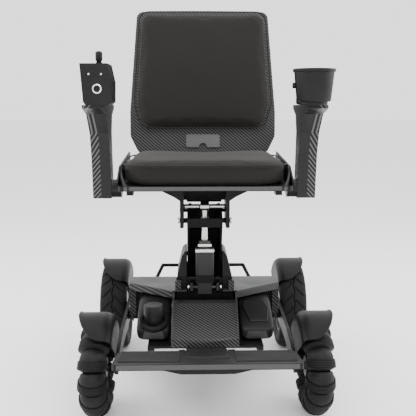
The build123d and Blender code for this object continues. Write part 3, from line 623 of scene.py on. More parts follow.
def keep_node(node: str, finish: str, edge_mm: float = 0.0) -> None:
    """Keeps a CAD node, dressed, with its edges broken by a small bevel.

    Args:
        node: The node's name.
        finish: A field name of Finishes.
        edge_mm: The bevel's width, or 0 for none.
    """
    piece = frame["nodes"][node]
    dress(piece, finish)
    if edge_mm:
        weld = piece.modifiers.new("weld", "WELD")
        weld.merge_threshold = 1e-5
        break_edges(piece, edge_mm / 1000, angle=40)
    LOG.info("node %s kept", node)


# ---------------------------------------------------------------- studio


@dataclass
class Studio:
    """Pale floor, soft lights and the camera."""

    eye: tuple = (-0.034, -1.60, 0.776)
    lens: float = 57.7
    pitch: float = 0.155
    turn: float = -0.024
    sensor: float = 36.0
    floor_reach: float = 30.0
    floor_level: float = -0.0005
    room_brightness: float = 1.95

    def build(self) -> None:
        """Builds the camera first, then floor, world and lights."""
        data = bpy.data.cameras.new("camera")
        data.lens, data.sensor_width = self.lens, self.sensor
        camera = bpy.data.objects.new("camera", data)
        camera.location = (self.eye[0], back(self.eye[1]), self.eye[2])
        camera.rotation_euler = (math.pi / 2 - self.pitch, 0, self.turn)
        bpy.context.scene.collection.objects.link(camera)
        bpy.context.scene.camera = camera
        reach = np.linspace(-self.floor_reach, self.floor_reach, 2)
        points = np.stack(np.meshgrid(reach, reach, [self.floor_level], indexing="ij"), -1)[:, :, 0]
        floor = make_piece("floor", grid_patch(points[::-1]))
        if floor.data.polygons[0].normal.z < 0:
            floor.data.flip_normals()
        floor.data.materials.append(Grained("floor_paper_matt", "#f4f4f4", "#f6f6f6", 0.9).make())
        self.light_room()

    def light_room(self) -> None:
        """A bright even room, a large key from above in front, and two side strips."""
        world = bpy.data.worlds.new("room")
        bpy.context.scene.world = world
        world.use_nodes = True
        room = world.node_tree.nodes["Background"]
        room.inputs[0].default_value = (1, 1, 1, 1)
        room.inputs[1].default_value = self.room_brightness
        for name, place, size, power in (
            ("key", (0.3, -2.2, 2.6), 2.0, 55.0),
            ("left_strip", (2.2, 0.0, 1.4), 1.6, 35.0),
            ("right_strip", (-2.2, 0.0, 1.4), 1.6, 35.0),
            ("top", (0.0, 0.4, 3.0), 2.5, 45.0),
        ):
            data = bpy.data.lights.new(name, "AREA")
            data.size, data.energy = size, power
            lamp = bpy.data.objects.new(name, data)
            lamp.location = place
            lamp.rotation_euler = (Vector((0, 0, 0.5)) - Vector(place)).to_track_quat("-Z", "Y").to_euler()
            bpy.context.scene.collection.objects.link(lamp)


# ---------------------------------------------------------------- wheels


@dataclass
class OmniWheels:
    """Front wheels: hubs of blasted alloy and twelve grooved rubber barrels on each."""

    radius: float = 0.122
    roller: float = 0.0375
    count: int = 12
    socket_wall: float = 0.0025
    gap: float = 0.0008
    shaft: float = 0.005
    grooves: int = 5
    groove_depth: float = 0.0024

    def profile(self) -> np.ndarray:
        """The barrel's outline: ball end, slot for the hub's finger, grooved crown, socket.

        The crown is the wheel's own circle seen from the roller's axle, less a row of raised cosines
        for the grooves.

        Returns:
            Rows of radius and height along the roller's axle.
        """
        step = math.radians(360 / self.count)
        ring = self.radius - self.roller
        half = ring * math.tan(step / 2)
        rim = math.sqrt(self.radius**2 - half**2) - ring
        socket = rim - self.socket_wall
        ball = socket - self.gap
        slope = math.tan(step)
        slot = (0.0026 + 2 * self.gap) / math.cos(step)
        depth = ball * math.cos(step) + 2 * self.gap
        turn = np.linspace(-step, step, 9)
        ball_arc = np.stack([ball * np.cos(turn), -half + ball * np.sin(turn)], -1)
        shoulder = slope * self.roller - half + slot
        height = np.linspace(shoulder, half, 46)
        share = np.linspace(0, 1, 46) * self.grooves
        cut = np.maximum(np.cos(2 * np.pi * (share - 0.5)), 0) ** 3 * self.groove_depth
        crown = np.stack([np.sqrt(self.radius**2 - height**2) - ring - cut, height], -1)
        inside = np.linspace(0, math.pi / 2, 10)
        floor_radius = math.sqrt(socket**2 - depth**2)
        cup = np.stack([socket * np.cos(inside), half - socket * np.sin(inside)], -1)
        cup = cup[cup[:, 0] > floor_radius]
        ends = np.array([[0, ball_arc[0, 1]]])
        throat = slope * self.shaft - half
        neck = np.array([[self.shaft, throat], [self.shaft, throat + slot]])
        floor = np.array([[floor_radius, half - depth], [0, half - depth]])
        return np.concatenate([ends, ball_arc, neck, crown, cup, floor])

    def build(self) -> None:
        """Builds every roller in place of its CAD node and dresses the hubs."""
        profile = self.profile()
        for side in Side:
            keep_node(f"{side.word}_omni_hub", "cast", 0.0)
            for index in range(1, self.count + 1):
                node = f"{side.word}_roller_{index:02d}"
                joint = JOINTS[f"{node}_spin"]
                patch = revolve(profile, np.array(joint["pos_m"]), np.array(joint["axis"]), 56)
                piece = make_piece(f"{node}_grooved", patch, 50)
                place_piece(piece, "roller_rubber", node, node)


@dataclass
class DriveWheels:
    """Rear wheels: tyres with curved tread grooves on dressed rims."""

    radius: float = 0.136
    half: float = 0.040
    bead: float = 0.088
    blocks: int = 22
    depth: float = 0.0038

    def tread(self, side: Side, centre: np.ndarray) -> Patch:
        """A tyre on a grid of angle and place across, its crown cut by swept grooves.

        The groove's phase is angle * blocks / 2 pi plus a sweep that grows with the distance from
        the centre line; the two halves are half a block apart, and a zigzag joins them.

        Args:
            side: The wheel's side.
            centre: The wheel's centre.

        Returns:
            The tyre's closed surface.
        """
        half, top = self.half, self.radius
        across = [half - 0.008, half, half, half - 0.004, half - 0.009]
        radii = [self.bead, self.bead + 0.016, top - 0.014, top - 0.007, top - 0.0035]
        crown = np.linspace(half - 0.013, -half + 0.013, 44)
        crown_radii = top - 0.0025 * (np.abs(crown) / (half - 0.013)) ** 2.5
        offset = np.concatenate([across, crown, -np.array(across[::-1])])
        radius = np.concatenate([radii, crown_radii, radii[::-1]])
        turn = np.linspace(0, 2 * np.pi, 704, endpoint=False)[:, None]
        spread = np.abs(offset)[None, :] / half
        half_block = np.where(offset > 0, 0.0, 0.5)[None, :]
        phase = (turn * self.blocks / (2 * np.pi) + 1.15 * spread**0.8 + half_block) % 1
        groove = np.clip(1 - np.abs(phase - 0.5) / 0.13, 0, 1) ** 0.6
        zigzag = 0.12 * np.abs((turn * self.blocks / np.pi) % 2 - 1)
        middle = np.clip(1 - np.abs(offset[None, :] / half - zigzag + 0.06) / 0.07, 0, 1) ** 0.6
        on_crown = (radius > top - 0.010)[None, :]
        depth = np.maximum(groove * (spread > 0.14), middle) * self.depth * on_crown
        reach = radius[None, :] - depth
        points = np.stack(
            [
                centre[0] + side.value * np.broadcast_to(offset[None, :], reach.shape),
                centre[1] - reach * np.cos(turn),
                centre[2] + reach * np.sin(turn),
            ],
            -1,
        )
        return grid_patch(points, wrap_rows=True, wrap_columns=True)

    def build(self) -> None:
        """Builds the tyres in place of their CAD nodes and dresses the rims."""
        for side in Side:
            centre = np.array(JOINTS[f"{side.word}_rear_wheel_spin"]["pos_m"])
            piece = make_piece(f"{side.word}_tyre_treaded", self.tread(side, centre), 45)
            place_piece(piece, "tyre_rubber", f"wheel_{side.word}_rear", f"{side.word}_rear_tyre")
            keep_node(f"{side.word}_rear_rim", "cast", 0.8)


@dataclass
class Guard:
    """One pair of mudguards: a roof over the tread and a skirt on the inner side."""

    name: str
    node: str
    axle: tuple
    radius: float
    sweep: tuple
    taper: float
    inner: float = 0.2305
    outer: float = 0.3170
    wall: float = 0.003
    corner: float = 0.022
    lip: float = 0.0009

    def shell(self, side: Side) -> Patch:
        """The guard's outer skin on a grid of angle along the wheel and place across the section.

        Across, the section climbs the skirt, turns a quarter circle into the roof and ends in a lip
        that lifts. Along, the front edge starts later towards the outside, which makes the petal.

        Args:
            side: The guard's side.

        Returns:
            The open skin.
        """
        corner = self.corner
        along = np.linspace(0, 1, 64)[:, None]
        roof = self.radius + self.wall
        climb = np.linspace(0, 1, 16)
        bend = np.linspace(0, np.pi / 2, 8)[1:]
        flat = np.linspace(0, 1, 24)[1:]
        share = np.concatenate([climb * 0, 0 * bend, flat])[None, :]
        start = math.radians(self.sweep[0]) + math.radians(self.taper) * share**2.2
        angle = start + along * (math.radians(self.sweep[1]) - start)
        low = (roof - corner) - (roof - corner - 0.02) * np.sin(np.pi * along) ** 0.55 * 0.97
        skirt = low + (roof - corner - low) * climb[None, :]
        turned = np.broadcast_to(roof - corner + corner * np.sin(bend)[None, :], (64, len(bend)))
        lifted = roof + 0.0025 * np.clip((flat[None, :] - 0.86) / 0.14, 0, 1) ** 2 + 0 * along
        reach = np.concatenate([skirt, turned, lifted], 1)
        width = self.outer - self.inner - corner
        narrow = 1 - 0.22 * np.clip((0.32 - along) / 0.32, 0, 1) ** 1.6
        x = np.concatenate(
            [
                np.full((64, 16), self.inner),
                np.broadcast_to(self.inner + corner * (1 - np.cos(bend))[None, :], (64, len(bend))),
                self.inner + corner + width * flat[None, :] * narrow,
            ],
            1,
        )
        points = np.stack(
            [
                side.value * x,
                back(self.axle[0]) - reach * np.cos(angle),
                self.axle[1] + reach * np.sin(angle),
            ],
            -1,
        )
        return grid_patch(points)

    def build(self) -> None:
        """Builds both guards as one piece, walled inwards, in place of the CAD node."""
        piece = make_piece(self.name, joined([self.shell(side) for side in Side]), 60)
        faces = piece.data.polygons
        centres, normals = np.zeros((2, len(faces) * 3), np.float32)
        faces.foreach_get("center", centres)
        faces.foreach_get("normal", normals)
        centres, normals = centres.reshape(-1, 3), normals.reshape(-1, 3)
        top = centres[:, 2].argmax()
        middle = np.array([0.0, back(self.axle[0]), self.axle[1]])
        outward = normals[top] @ (centres[top] - middle) > 0
        wall = piece.modifiers.new("wall", "SOLIDIFY")
        wall.thickness, wall.offset = self.wall, -1.0 if outward else 1.0
        wall.use_even_offset = True
        break_edges(piece, self.lip)
        place_piece(piece, "guard_nylon", "base", self.node)


# ---------------------------------------------------------------- base


@dataclass
class Base:
    """Frame, deck, ramp, pods and carrying bar."""

    pod_inner: float = 0.093
    pod_width: float = 0.091
    pod_low: float = 0.152
    pod_front: float = 0.105

    def pod(self, side: Side) -> Patch:
        """A pod's shield-shaped case, lofted from front to rear.

        Each section is a superellipse in (x, height) whose centre climbs with the ramp's slope, so
        the face leans back.

        Args:
            side: The pod's side.

        Returns:
            The case's closed surface.
        """
        turn = np.linspace(0, 2 * np.pi, 96, endpoint=False)[None, :]
        depth = np.array([0.0, 0.002, 0.007, 0.016, 0.05, 0.10, 0.15, 0.183, 0.185])[:, None]
        size = np.array([0.80, 0.88, 0.955, 1.0, 1.0, 1.0, 1.0, 0.98, 0.93])[:, None]
        top = np.interp(depth, [0, 0.016, 0.09, 0.185], [0.183, 0.194, 0.239, 0.240])
        low = self.pod_low
        tall = (top - low) / 2
        power = 0.36
        across = np.sign(np.cos(turn)) * np.abs(np.cos(turn)) ** power
        upward = np.sign(np.sin(turn)) * np.abs(np.sin(turn)) ** power
        foot = 1 - 0.13 * np.clip(-upward, 0, 1) ** 2
        x = self.pod_inner + self.pod_width / 2 + size * foot * across * self.pod_width / 2
        z = low + tall + size * upward * tall
        points = np.stack([side.value * x, back(self.pod_front) + depth + 0 * x, z], -1)
        return sweep(points, np.zeros((len(depth), 3)))

    def slab(self, side: Side, outline: list, lift: float, thick: float) -> Patch:
        """A thin panel on the pod's leaning face, from an outline of (x, distance up the face).

        The face runs from (pod_front + 0.016, 0.194) to (0.195, 0.239); a panel point is the face's
        foot plus its distance along the slope plus the lift along the face's normal.

        Args:
            side: The pod's side.
            outline: Rows of x and distance up the slope, convex.
            lift: Height of the panel's base over the face.
            thick: The panel's thickness.

        Returns:
            The panel's closed surface.
        """
        foot = np.array([self.pod_front + 0.016, 0.1945])
        slope = np.array([0.074, 0.045])
        slope /= np.linalg.norm(slope)
        normal = np.array([-slope[1], slope[0]])
        line = np.array(outline)
        middle = line.mean(0)
        rings = []
        for height, share in ((lift - 0.004, 1.0), (lift + thick * 0.5, 1.0), (lift + thick, 0.94)):
            ring = middle + (line - middle) * share
            place = foot + ring[:, 1:2] * slope + normal * height
            rings.append(np.stack([side.value * ring[:, 0], FRONT_AXLE_Y + place[:, 0], place[:, 1]], -1))
        return sweep(np.array(rings), np.zeros((3, 3)))

    def build(self) -> None:
        """Dresses the base's CAD nodes and builds its pods and trim."""
        keep_node("chassis_frame", "powder_black", 1.0)
        keep_node("wheel_arms", "powder_black", 1.0)
        keep_node("deck_cover", "deck_paint", 0.8)
        keep_node("front_fascia", "carbon", 0.8)
        keep_node("rear_bar", "powder_black")
        self.build_pods()
        self.build_trim()

    def build_pods(self) -> None:
        """Pods with a capsule on the right and a flat recessed panel on the left, each with a lighter chin
        plate that is painted light.
        """
        middle = self.pod_inner + self.pod_width / 2
        pods = ((Side.RIGHT, "controller_pod", "base"), (Side.LEFT, "battery_pack", "battery"))
        for side, node, body in pods:
            piece = make_piece(f"{node}_case", self.pod(side), 40)
            place_piece(piece, "abs_satin", body, node)
            # The chin plate's lighter cast finish is a painted highlight. The plate is flat and upright, and
            # its colour stands for the pod's lower front sloping up into the light.
            highlight_chin_y = back(self.pod_front - 0.0015)
            highlight_chin = np.array([[-0.030, 0.157], [0.030, 0.157], [0.024, 0.178], [-0.024, 0.178]])
            front = np.stack([side.value * (middle + highlight_chin[:, 0]), np.full(4, highlight_chin_y), highlight_chin[:, 1]], -1)
            trim = sweep(front, np.array([[0, 0, 0], [0, 0.006, 0]]))
            place_piece(make_piece(f"{node}_chin", trim, 20), "cast", body)
        panel = [(middle - 0.018, 0.004), (middle + 0.030, 0.004), (middle + 0.036, 0.052)]
        panel += [(middle + 0.024, 0.080), (middle - 0.030, 0.080), (middle - 0.036, 0.058)]
        lid = self.slab(Side.LEFT, panel, 0.0, 0.003)
        place_piece(make_piece("battery_lid_panel", lid, 20), "abs_satin", "battery")
        turn = np.linspace(0, np.pi / 2, 12)
        ball = np.stack([0.027 * np.sin(turn), -0.027 * np.cos(turn)], -1)
        top = np.array([[0.027, 0.034], [0.0245, 0.037], [0, 0.037]])
        place = np.array([-middle, back(0.134), 0.206])
        capsule = revolve(np.concatenate([ball, top]), place, np.array([0, 0, 1.0]), 48)
        place_piece(make_piece("horn_capsule", capsule, 50), "abs_satin", "base")
        ring = [(0.031, -0.003), (0.037, -0.003), (0.038, 0.002)]
        ring += [(0.037, 0.005), (0.031, 0.005), (0.031, -0.003)]
        place = np.array([-middle, back(0.1195), 0.201])
        collar = revolve(np.array(ring), place, np.array([0, -0.52, 0.85]), 56)
        place_piece(make_piece("horn_collar", collar, 30), "powder_black", "base")

    def build_trim(self) -> None:
        """Carbon bands over the arches, and the bright strip on the ramp's left edge."""
        share = np.linspace(0, 1, 24)[:, None]
        for side in Side:
            start, end = np.array([0.0885, 0.1815, 0.2662]), np.array([0.2155, 0.2715, 0.2662])
            line = start + share * (end - start)
            line[:, 0] *= side.value
            line[:, 1] = back(0) + line[:, 1]
            section = np.array([[0, 0, 0], [0, -0.0040, -0.003], [0, -0.0040, -0.019], [0, 0.000, -0.021]])
            section = np.concatenate([section, section[::-1] + np.array([0, 0.0035, 0])])
            band = sweep(section, line)
            place_piece(make_piece(f"{side.word}_arch_band", band, 35), "carbon", "base")
            leg = np.array([[0.1975, 0, 0], [0.2150, 0, 0], [0.2150, 0.004, 0], [0.1975, 0.004, 0]])
            leg[:, 0] *= side.value
            rise = np.array([[0, back(0.2680), 0.170], [0, back(0.2680), 0.2600]])
            post = sweep(leg, rise)
            place_piece(make_piece(f"{side.word}_arch_leg", post, 20), "carbon", "base")
        edge = [(-0.0892, 0.0585, 0.152), (-0.0892, 0.0615, 0.173)]
        edge += [(-0.0892, 0.150, 0.2415), (-0.0892, 0.182, 0.243)]
        path = np.array(edge)
        path[:, 1] += FRONT_AXLE_Y
        strip = np.array([[0, 0, 0], [0.0018, 0, 0], [0.0018, 0, 0.003], [0, 0, 0.003]])
        place_piece(make_piece("ramp_edge_strip", sweep(strip, path), 30), "anodised", "base")


# ---------------------------------------------------------------- lift


@dataclass
class Lift:
    """Tower, four-bar links, actuator and the seat's carriage."""

    eye_radius: float = 0.013

    def build(self) -> None:
        """Dresses the lift's nodes and adds pin heads, clamps, covers and sleeves."""
        for node in ("lift_tower", "front_link", "rear_link", "seat_carriage"):
            keep_node(node, "powder_black", 0.9)
        keep_node("actuator_body", "cast", 2.2)
        keep_node("actuator_rod", "turned", 0.4)
        pivots = [
            ("front_pin_heads", "seat_lift", 0.0645, "base"),
            ("seat_pin_heads", "seat_level", 0.0700, "link_front"),
            ("actuator_pin_heads", "actuator_tilt", 0.0435, "actuator"),
        ]
        for name, joint, reach, body in pivots:
            at = JOINTS[joint]["pos_m"]
            heads = [bolt((s.value * reach, at[1], at[2]), (s.value, 0, 0), 0.0085, 0.0035) for s in Side]
            place_piece(make_piece(name, joined(heads), 30), "turned", body)
        self.build_clamp()
        self.build_covers()

    def build_covers(self) -> None:
        """Dark cover plates behind the tower and the carriage, and sleeves on the carriage's pin."""
        for name, half, distance, low, high, body in (
            ("tower_rear_cover", 0.0570, 0.3430, 0.264, 0.312, "base"),
            ("carriage_rear_cover", 0.0500, 0.2920, 0.498, 0.552, "seat"),
        ):
            section = np.array([[-half, 0, 0], [half, 0, 0], [half, 0.003, 0], [-half, 0.003, 0]])
            levels = np.array([[0, back(distance), low], [0, back(distance), high]])
            piece = make_piece(name, sweep(section, levels), 20)
            break_edges(piece, 0.0008)
            place_piece(piece, "powder_black", body)
        pin = np.array([[0, 0], [0.0060, 0], [0.0066, 0.0008], [0.0066, 0.0392], [0.0060, 0.040], [0, 0.040]])
        starts = {side: self.pin_place() + np.array([side.value * 0.0145, 0, 0]) for side in Side}
        sleeves = [revolve(pin, start, (side.value, 0, 0), 32) for side, start in starts.items()]
        place_piece(make_piece("carriage_pin_sleeves", joined(sleeves), 30), "turned", "seat")

    def pin_place(self) -> np.ndarray:
        """The carriage pin's centre: the rod's top end, one eye radius down its axis.

        Returns:
            The pin's middle in the frame.
        """
        base = np.array(JOINTS["actuator_tilt"]["pos_m"])
        axis = np.array(JOINTS["actuator_stroke"]["axis"])
        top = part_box("actuator_rod")[1].z
        return base + axis * ((top - self.eye_radius - base[2]) / axis[2])

    def build_clamp(self) -> None:
        """Two bright clamp blocks and a dark band on the actuator's housing, along its own axis."""
        base = np.array(JOINTS["actuator_tilt"]["pos_m"])
        axis = np.array(JOINTS["actuator_stroke"]["axis"])
        front = np.cross(axis, [1.0, 0, 0])
        front = front * (-np.sign(front[1]))
        for name, low, high, half, reach, finish in (
            ("actuator_clamp_upper", 0.1185, 0.127, 0.0185, 0.0190, "turned"),
            ("actuator_clamp_lower", 0.103, 0.112, 0.0256, 0.0208, "turned"),
            ("actuator_band", 0.017, 0.039, 0.0240, 0.0180, "powder_black"),
        ):
            corners = np.array([[-half, -reach], [half, -reach], [half, reach], [-half, reach]])
            section = corners[:, :1] * np.array([1.0, 0, 0]) + corners[:, 1:] * front
            levels = np.array([base + axis * low, base + axis * high])
            piece = make_piece(name, sweep(section, levels), 20)
            break_edges(piece, 0.0016, 3)
            place_piece(piece, finish, "actuator")


# ---------------------------------------------------------------- soft goods


@dataclass
class Cushion:
    """A padded form: a rounded outline carried from its base over its side to its crowned top."""

    name: str
    node: str
    body: str
    outline: np.ndarray
    origin: np.ndarray
    across: np.ndarray
    along: np.ndarray
    outward: np.ndarray
    thick: float
    crown: float
    dish: float
    hump: float = 0.0
    finish: str = "mesh_cloth"
    cap: float = 0.007
    voxel: float = 0.005
    fill: float = 0.7
    pressure: float = 4.0
    steps: int = 20
    held: float = 0.008

    def form(self) -> Patch:
        """The cushion before it is stuffed.

        A point is the outline scaled towards its middle by the profile's share, raised by the
        profile's height; the top adds a crown of cosines, takes away a dish in the middle and adds
        two humps towards the rear corners.

        Returns:
            A closed surface.
        """
        side = [(0.0, 0.0), (0.35, 0.0), (0.7, 0.0), (0.93, 0.0), (0.985, 0.06), (1.0, 0.2), (0.994, 0.5)]
        side += [(1.0, 0.78), (0.985, 0.92), (0.95, 1.0), (0.86, 1.0)]
        side += [(0.7, 1.0), (0.5, 1.0), (0.3, 1.0), (0.12, 1.0), (0.0, 1.0)]
        share, height = np.array(side).T
        middle = self.outline.mean(0)
        flat = middle + (self.outline[:, None, :] - middle) * share[None, :, None]
        span = np.abs(self.outline - middle).max(0)
        u, v = ((flat - middle) / span)[..., 0], ((flat - middle) / span)[..., 1]
        on_top = np.clip((height - 0.9) / 0.1, 0, 1)[None, :]
        bulge_u, bulge_v = (np.cos(np.clip(way, -1, 1) * np.pi / 2) ** 0.7 for way in (u, v))
        swell = self.crown * bulge_u * bulge_v
        dip = self.dish * (1 - u**2) * (0.5 + 0.5 * v)
        humps = self.hump * (0.5 + 0.5 * v) * np.abs(u) ** 1.5 * np.clip((1 - share) * 5, 0, 1)
        level = height[None, :] * self.thick + on_top * (swell - dip + humps)
        points = self.origin + flat[..., :1] * self.across + flat[..., 1:] * self.along
        points = points + level[..., None] * self.outward
        return grid_patch(points, wrap_rows=True)

    def stuff(self, piece: bpy.types.Object) -> None:
        """Swells the form as cloth under pressure and applies the result.

        No point moves further than the cap. Motion away from the plate fades to nothing over the
        lowest `held` metres, where the cushion rests.

        Args:
            piece: The cushion before it is stuffed.
        """
        activate(piece)
        remesh = piece.modifiers.new("voxels", "REMESH")
        remesh.mode, remesh.voxel_size = "VOXEL", self.voxel
        bpy.ops.object.modifier_apply(modifier=remesh.name)
        rest = read_points(piece.data)
        cloth = piece.modifiers.new("cloth", "CLOTH")
        cloth.settings.use_pressure = True
        cloth.settings.uniform_pressure_force = self.pressure
        cloth.settings.effector_weights.gravity = 0.0
        cloth.point_cache.frame_start, cloth.point_cache.frame_end = 1, self.steps
        for step in range(1, self.steps + 1):
            bpy.context.scene.frame_set(step)
        shape = piece.evaluated_get(bpy.context.evaluated_depsgraph_get())
        moved = read_points(shape.data) - rest
        piece.modifiers.remove(cloth)
        bpy.context.scene.frame_set(1)
        length = np.linalg.norm(moved, axis=1, keepdims=True)
        moved *= np.minimum(1.0, self.cap / np.maximum(length, 1e-9))
        below = (rest - self.origin) @ self.outward
        flat = np.clip(below / self.held, 0, 1)[:, None]
        moved -= (1 - flat) * (moved @ self.outward)[:, None] * self.outward
        piece.data.vertices.foreach_set("co", (rest + moved).astype(np.float32).ravel())
        piece.data.update()

    def build(self) -> bpy.types.Object:
        """Builds, stuffs and dresses the cushion, and sets the body it rides on.

        Returns:
            The finished cushion.
        """
        piece = make_piece(self.name, self.form(), 80)
        self.stuff(piece)
        soften = piece.modifiers.new("relax", "SMOOTH")
        soften.factor, soften.iterations = 0.5, 4
        rounds = piece.modifiers.new("rounds", "SUBSURF")
        rounds.levels = rounds.render_levels = 1
        piece.data.shade_smooth()
        place_piece(piece, self.finish, self.body, self.node)
        return piece

    def piping(self, height: float, radius: float = 0.0022) -> bpy.types.Object:
        """A sewn cord round the cushion's edge: a circle carried along the outline.

        Args:
            height: Share of the thickness at which it runs.
            radius: The cord's radius.

        Returns:
            The piping's piece.
        """
        line = np.concatenate([self.outline, self.outline[:1]])
        middle = self.outline.mean(0)
        out = line - middle
        out /= np.linalg.norm(out, axis=1, keepdims=True)
        turn = np.linspace(0, 2 * np.pi, 10, endpoint=False)
        way = out[:, None, :1] * self.across + out[:, None, 1:] * self.along
        path = self.origin + line[:, :1] * self.across + line[:, 1:] * self.along
        path = path + self.outward * self.thick * height
        ring = np.cos(turn)[None, :, None] * way + np.sin(turn)[None, :, None] * self.outward
        points = path[:-1, None, :] + 0.0008 * way[:-1] + radius * ring[:-1]
        piece = make_piece(f"{self.name}_piping", grid_patch(points, True, True), 80)
        return place_piece(piece, self.finish, self.body)


def activate(piece: bpy.types.Object) -> None:
    """Makes a piece the only one selected and the active one.

    Args:
        piece: The piece that operators will act on.
    """
    bpy.ops.object.select_all(action="DESELECT")
    piece.select_set(True)
    bpy.context.view_layer.objects.active = piece


def read_points(mesh: bpy.types.Mesh) -> np.ndarray:
    """Reads a mesh's vertices as an n x 3 array.

    Args:
        mesh: The mesh to read.

    Returns:
        Its vertices, n x 3.
    """
    points = np.zeros(len(mesh.vertices) * 3, np.float32)
    mesh.vertices.foreach_get("co", points)
    return points.reshape(-1, 3).astype(float)


def rounded_outline(corners: list, radius: float, steps: int = 160) -> np.ndarray:
    """An outline with circular corners, evenly spaced along its length.

    Each corner becomes an arc tangent to its two sides; the points are then resampled by length.

    Args:
        corners: Convex corner points in order.
        radius: The corners' radius.
        steps: Points round the outline.

    Returns:
        The outline as steps x 2.
    """
    points = np.array(corners, float)
    before, after = np.roll(points, 1, 0) - points, np.roll(points, -1, 0) - points
    before /= np.linalg.norm(before, axis=1, keepdims=True)
    after /= np.linalg.norm(after, axis=1, keepdims=True)
    half = np.arccos(np.clip((before * after).sum(1), -1, 1)) / 2
    reach = radius / np.tan(half)
    share = np.linspace(0, 1, 17)[None, :, None]
    start, end = (points + before * reach[:, None])[:, None], (points + after * reach[:, None])[:, None]
    arcs = (1 - share) ** 2 * start + 2 * share * (1 - share) * points[:, None] + share**2 * end
    line = arcs.reshape(-1, 2)
    closed = np.concatenate([line, line[:1]])
    length = np.concatenate([[0], np.cumsum(np.linalg.norm(np.diff(closed, axis=0), axis=1))])
    at = np.linspace(0, length[-1], steps, endpoint=False)
    return np.stack([np.interp(at, length, closed[:, 0]), np.interp(at, length, closed[:, 1])], -1)


# ---------------------------------------------------------------- seat and back


@dataclass
class Seat:
    """Seat plate with its rail, side guards and cushion."""

    pan_top: float = 0.571
    front: float = 0.056
    lip: float = 0.0009

    def build(self) -> None:
        """Dresses the plate and builds its rail, the cushion with its piping, and the corner ears."""
        keep_node("seat_pan", "powder_black", 0.8)
        self.build_rail()
        corners = [(-0.2150, 0.062), (0.2150, 0.062), (0.2150, 0.472), (-0.2150, 0.472)]
        cushion = Cushion(
            "seat_cushion_padded",
            "seat_cushion",
            "seat",
            rounded_outline(corners, 0.105),
            np.array([0, FRONT_AXLE_Y, self.pan_top + 0.0004]),
            np.array([1.0, 0, 0]),
            np.array([0, 1.0, 0]),
            np.array([0, 0, 1.0]),
            0.053,
            0.011,
            0.006,
            0.012,
        )
        cushion.build()
        cushion.piping(0.96)
        for side in Side:
            self.build_ear(side)

    def build_rail(self) -> None:
        """The bright rail along the plate's front edge: a rounded section carried across."""
        section = np.array(
            [[0, 0, -0.0055], [0, -0.0016, -0.0045], [0, -0.0022, 0], [0, -0.0016, 0.0045], [0, 0, 0.0055]]
        )
        ends = np.array([[-0.2050, back(self.front), 0.5655], [0.2050, back(self.front), 0.5655]])
        rail = sweep(section, ends)
        place_piece(make_piece("seat_front_rail", rail, 30), "anodised", "seat")

    def build_ear(self, side: Side) -> None:
        """The plastic ear that wraps the cushion's front corner.

        In plan a quarter of an ellipse runs from the rail round to the side, then straight to the
        rear; the top edge climbs with the cube-smooth share of the way and eases down at the end.

        Args:
            side: The ear's side.
        """
        way = np.linspace(0, 1.6, 56)[:, None]
        up = np.linspace(0, 1, 14)[None, :]
        turn = np.clip(way, 0, 1) * np.pi / 2
        climb = np.clip(way / 1.0, 0, 1)
        ease = np.clip((way - 1.0) / 0.6, 0, 1)
        top = 0.572 + 0.042 * climb**2 * (3 - 2 * climb) - 0.016 * ease**2
        x = 0.1900 + (0.2160 - 0.1900) * np.sin(turn) + 0.0020 * np.sin(up * np.pi)
        y = back(self.front - 0.0015) + 0.070 * (1 - np.cos(turn)) + 0.13 * np.clip(way - 1, 0, None)
        z = 0.560 + (top - 0.560) * up
        grid = np.stack([side.value * x, y + 0 * x, z + 0 * x], -1)
        piece = make_piece(f"{side.word}_corner_ear", grid_patch(grid), 60)
        wall = piece.modifiers.new("wall", "SOLIDIFY")
        wall.thickness, wall.offset = 0.003, 0.0
        break_edges(piece, self.lip)
        place_piece(piece, "abs_satin", "seat")


@dataclass
class Backrest:
    """Back shell, cushion and release paddle on the leaning back plane."""

    lean: float = math.radians(10.4)
    foot: tuple = (0.474, 0.624)

    def build(self) -> None:
        """Dresses shell and paddle and builds the cushion with its piping."""
        keep_node("back_shell", "carbon", 2.0)
        keep_node("back_latch", "anodised", 0.8)
        up = np.array([0, math.sin(self.lean), math.cos(self.lean)])
        forward = np.array([0, -math.cos(self.lean), math.sin(self.lean)])
        corners = [(-0.190, 0.076), (0.190, 0.076), (0.2100, 0.150)]
        corners += [(0.1925, 0.432), (-0.1925, 0.432), (-0.2100, 0.150)]
        cushion = Cushion(
            "back_cushion_padded",
            "back_cushion",
            "backrest",
            rounded_outline(corners, 0.036),
            np.array([0, back(self.foot[0]), self.foot[1]]) + forward * 0.0004,
            np.array([1.0, 0, 0]),
            up,
            forward,
            0.036,
            0.008,
            0.0,
        )
        cushion.build()
        cushion.piping(0.94)


# ---------------------------------------------------------------- arms


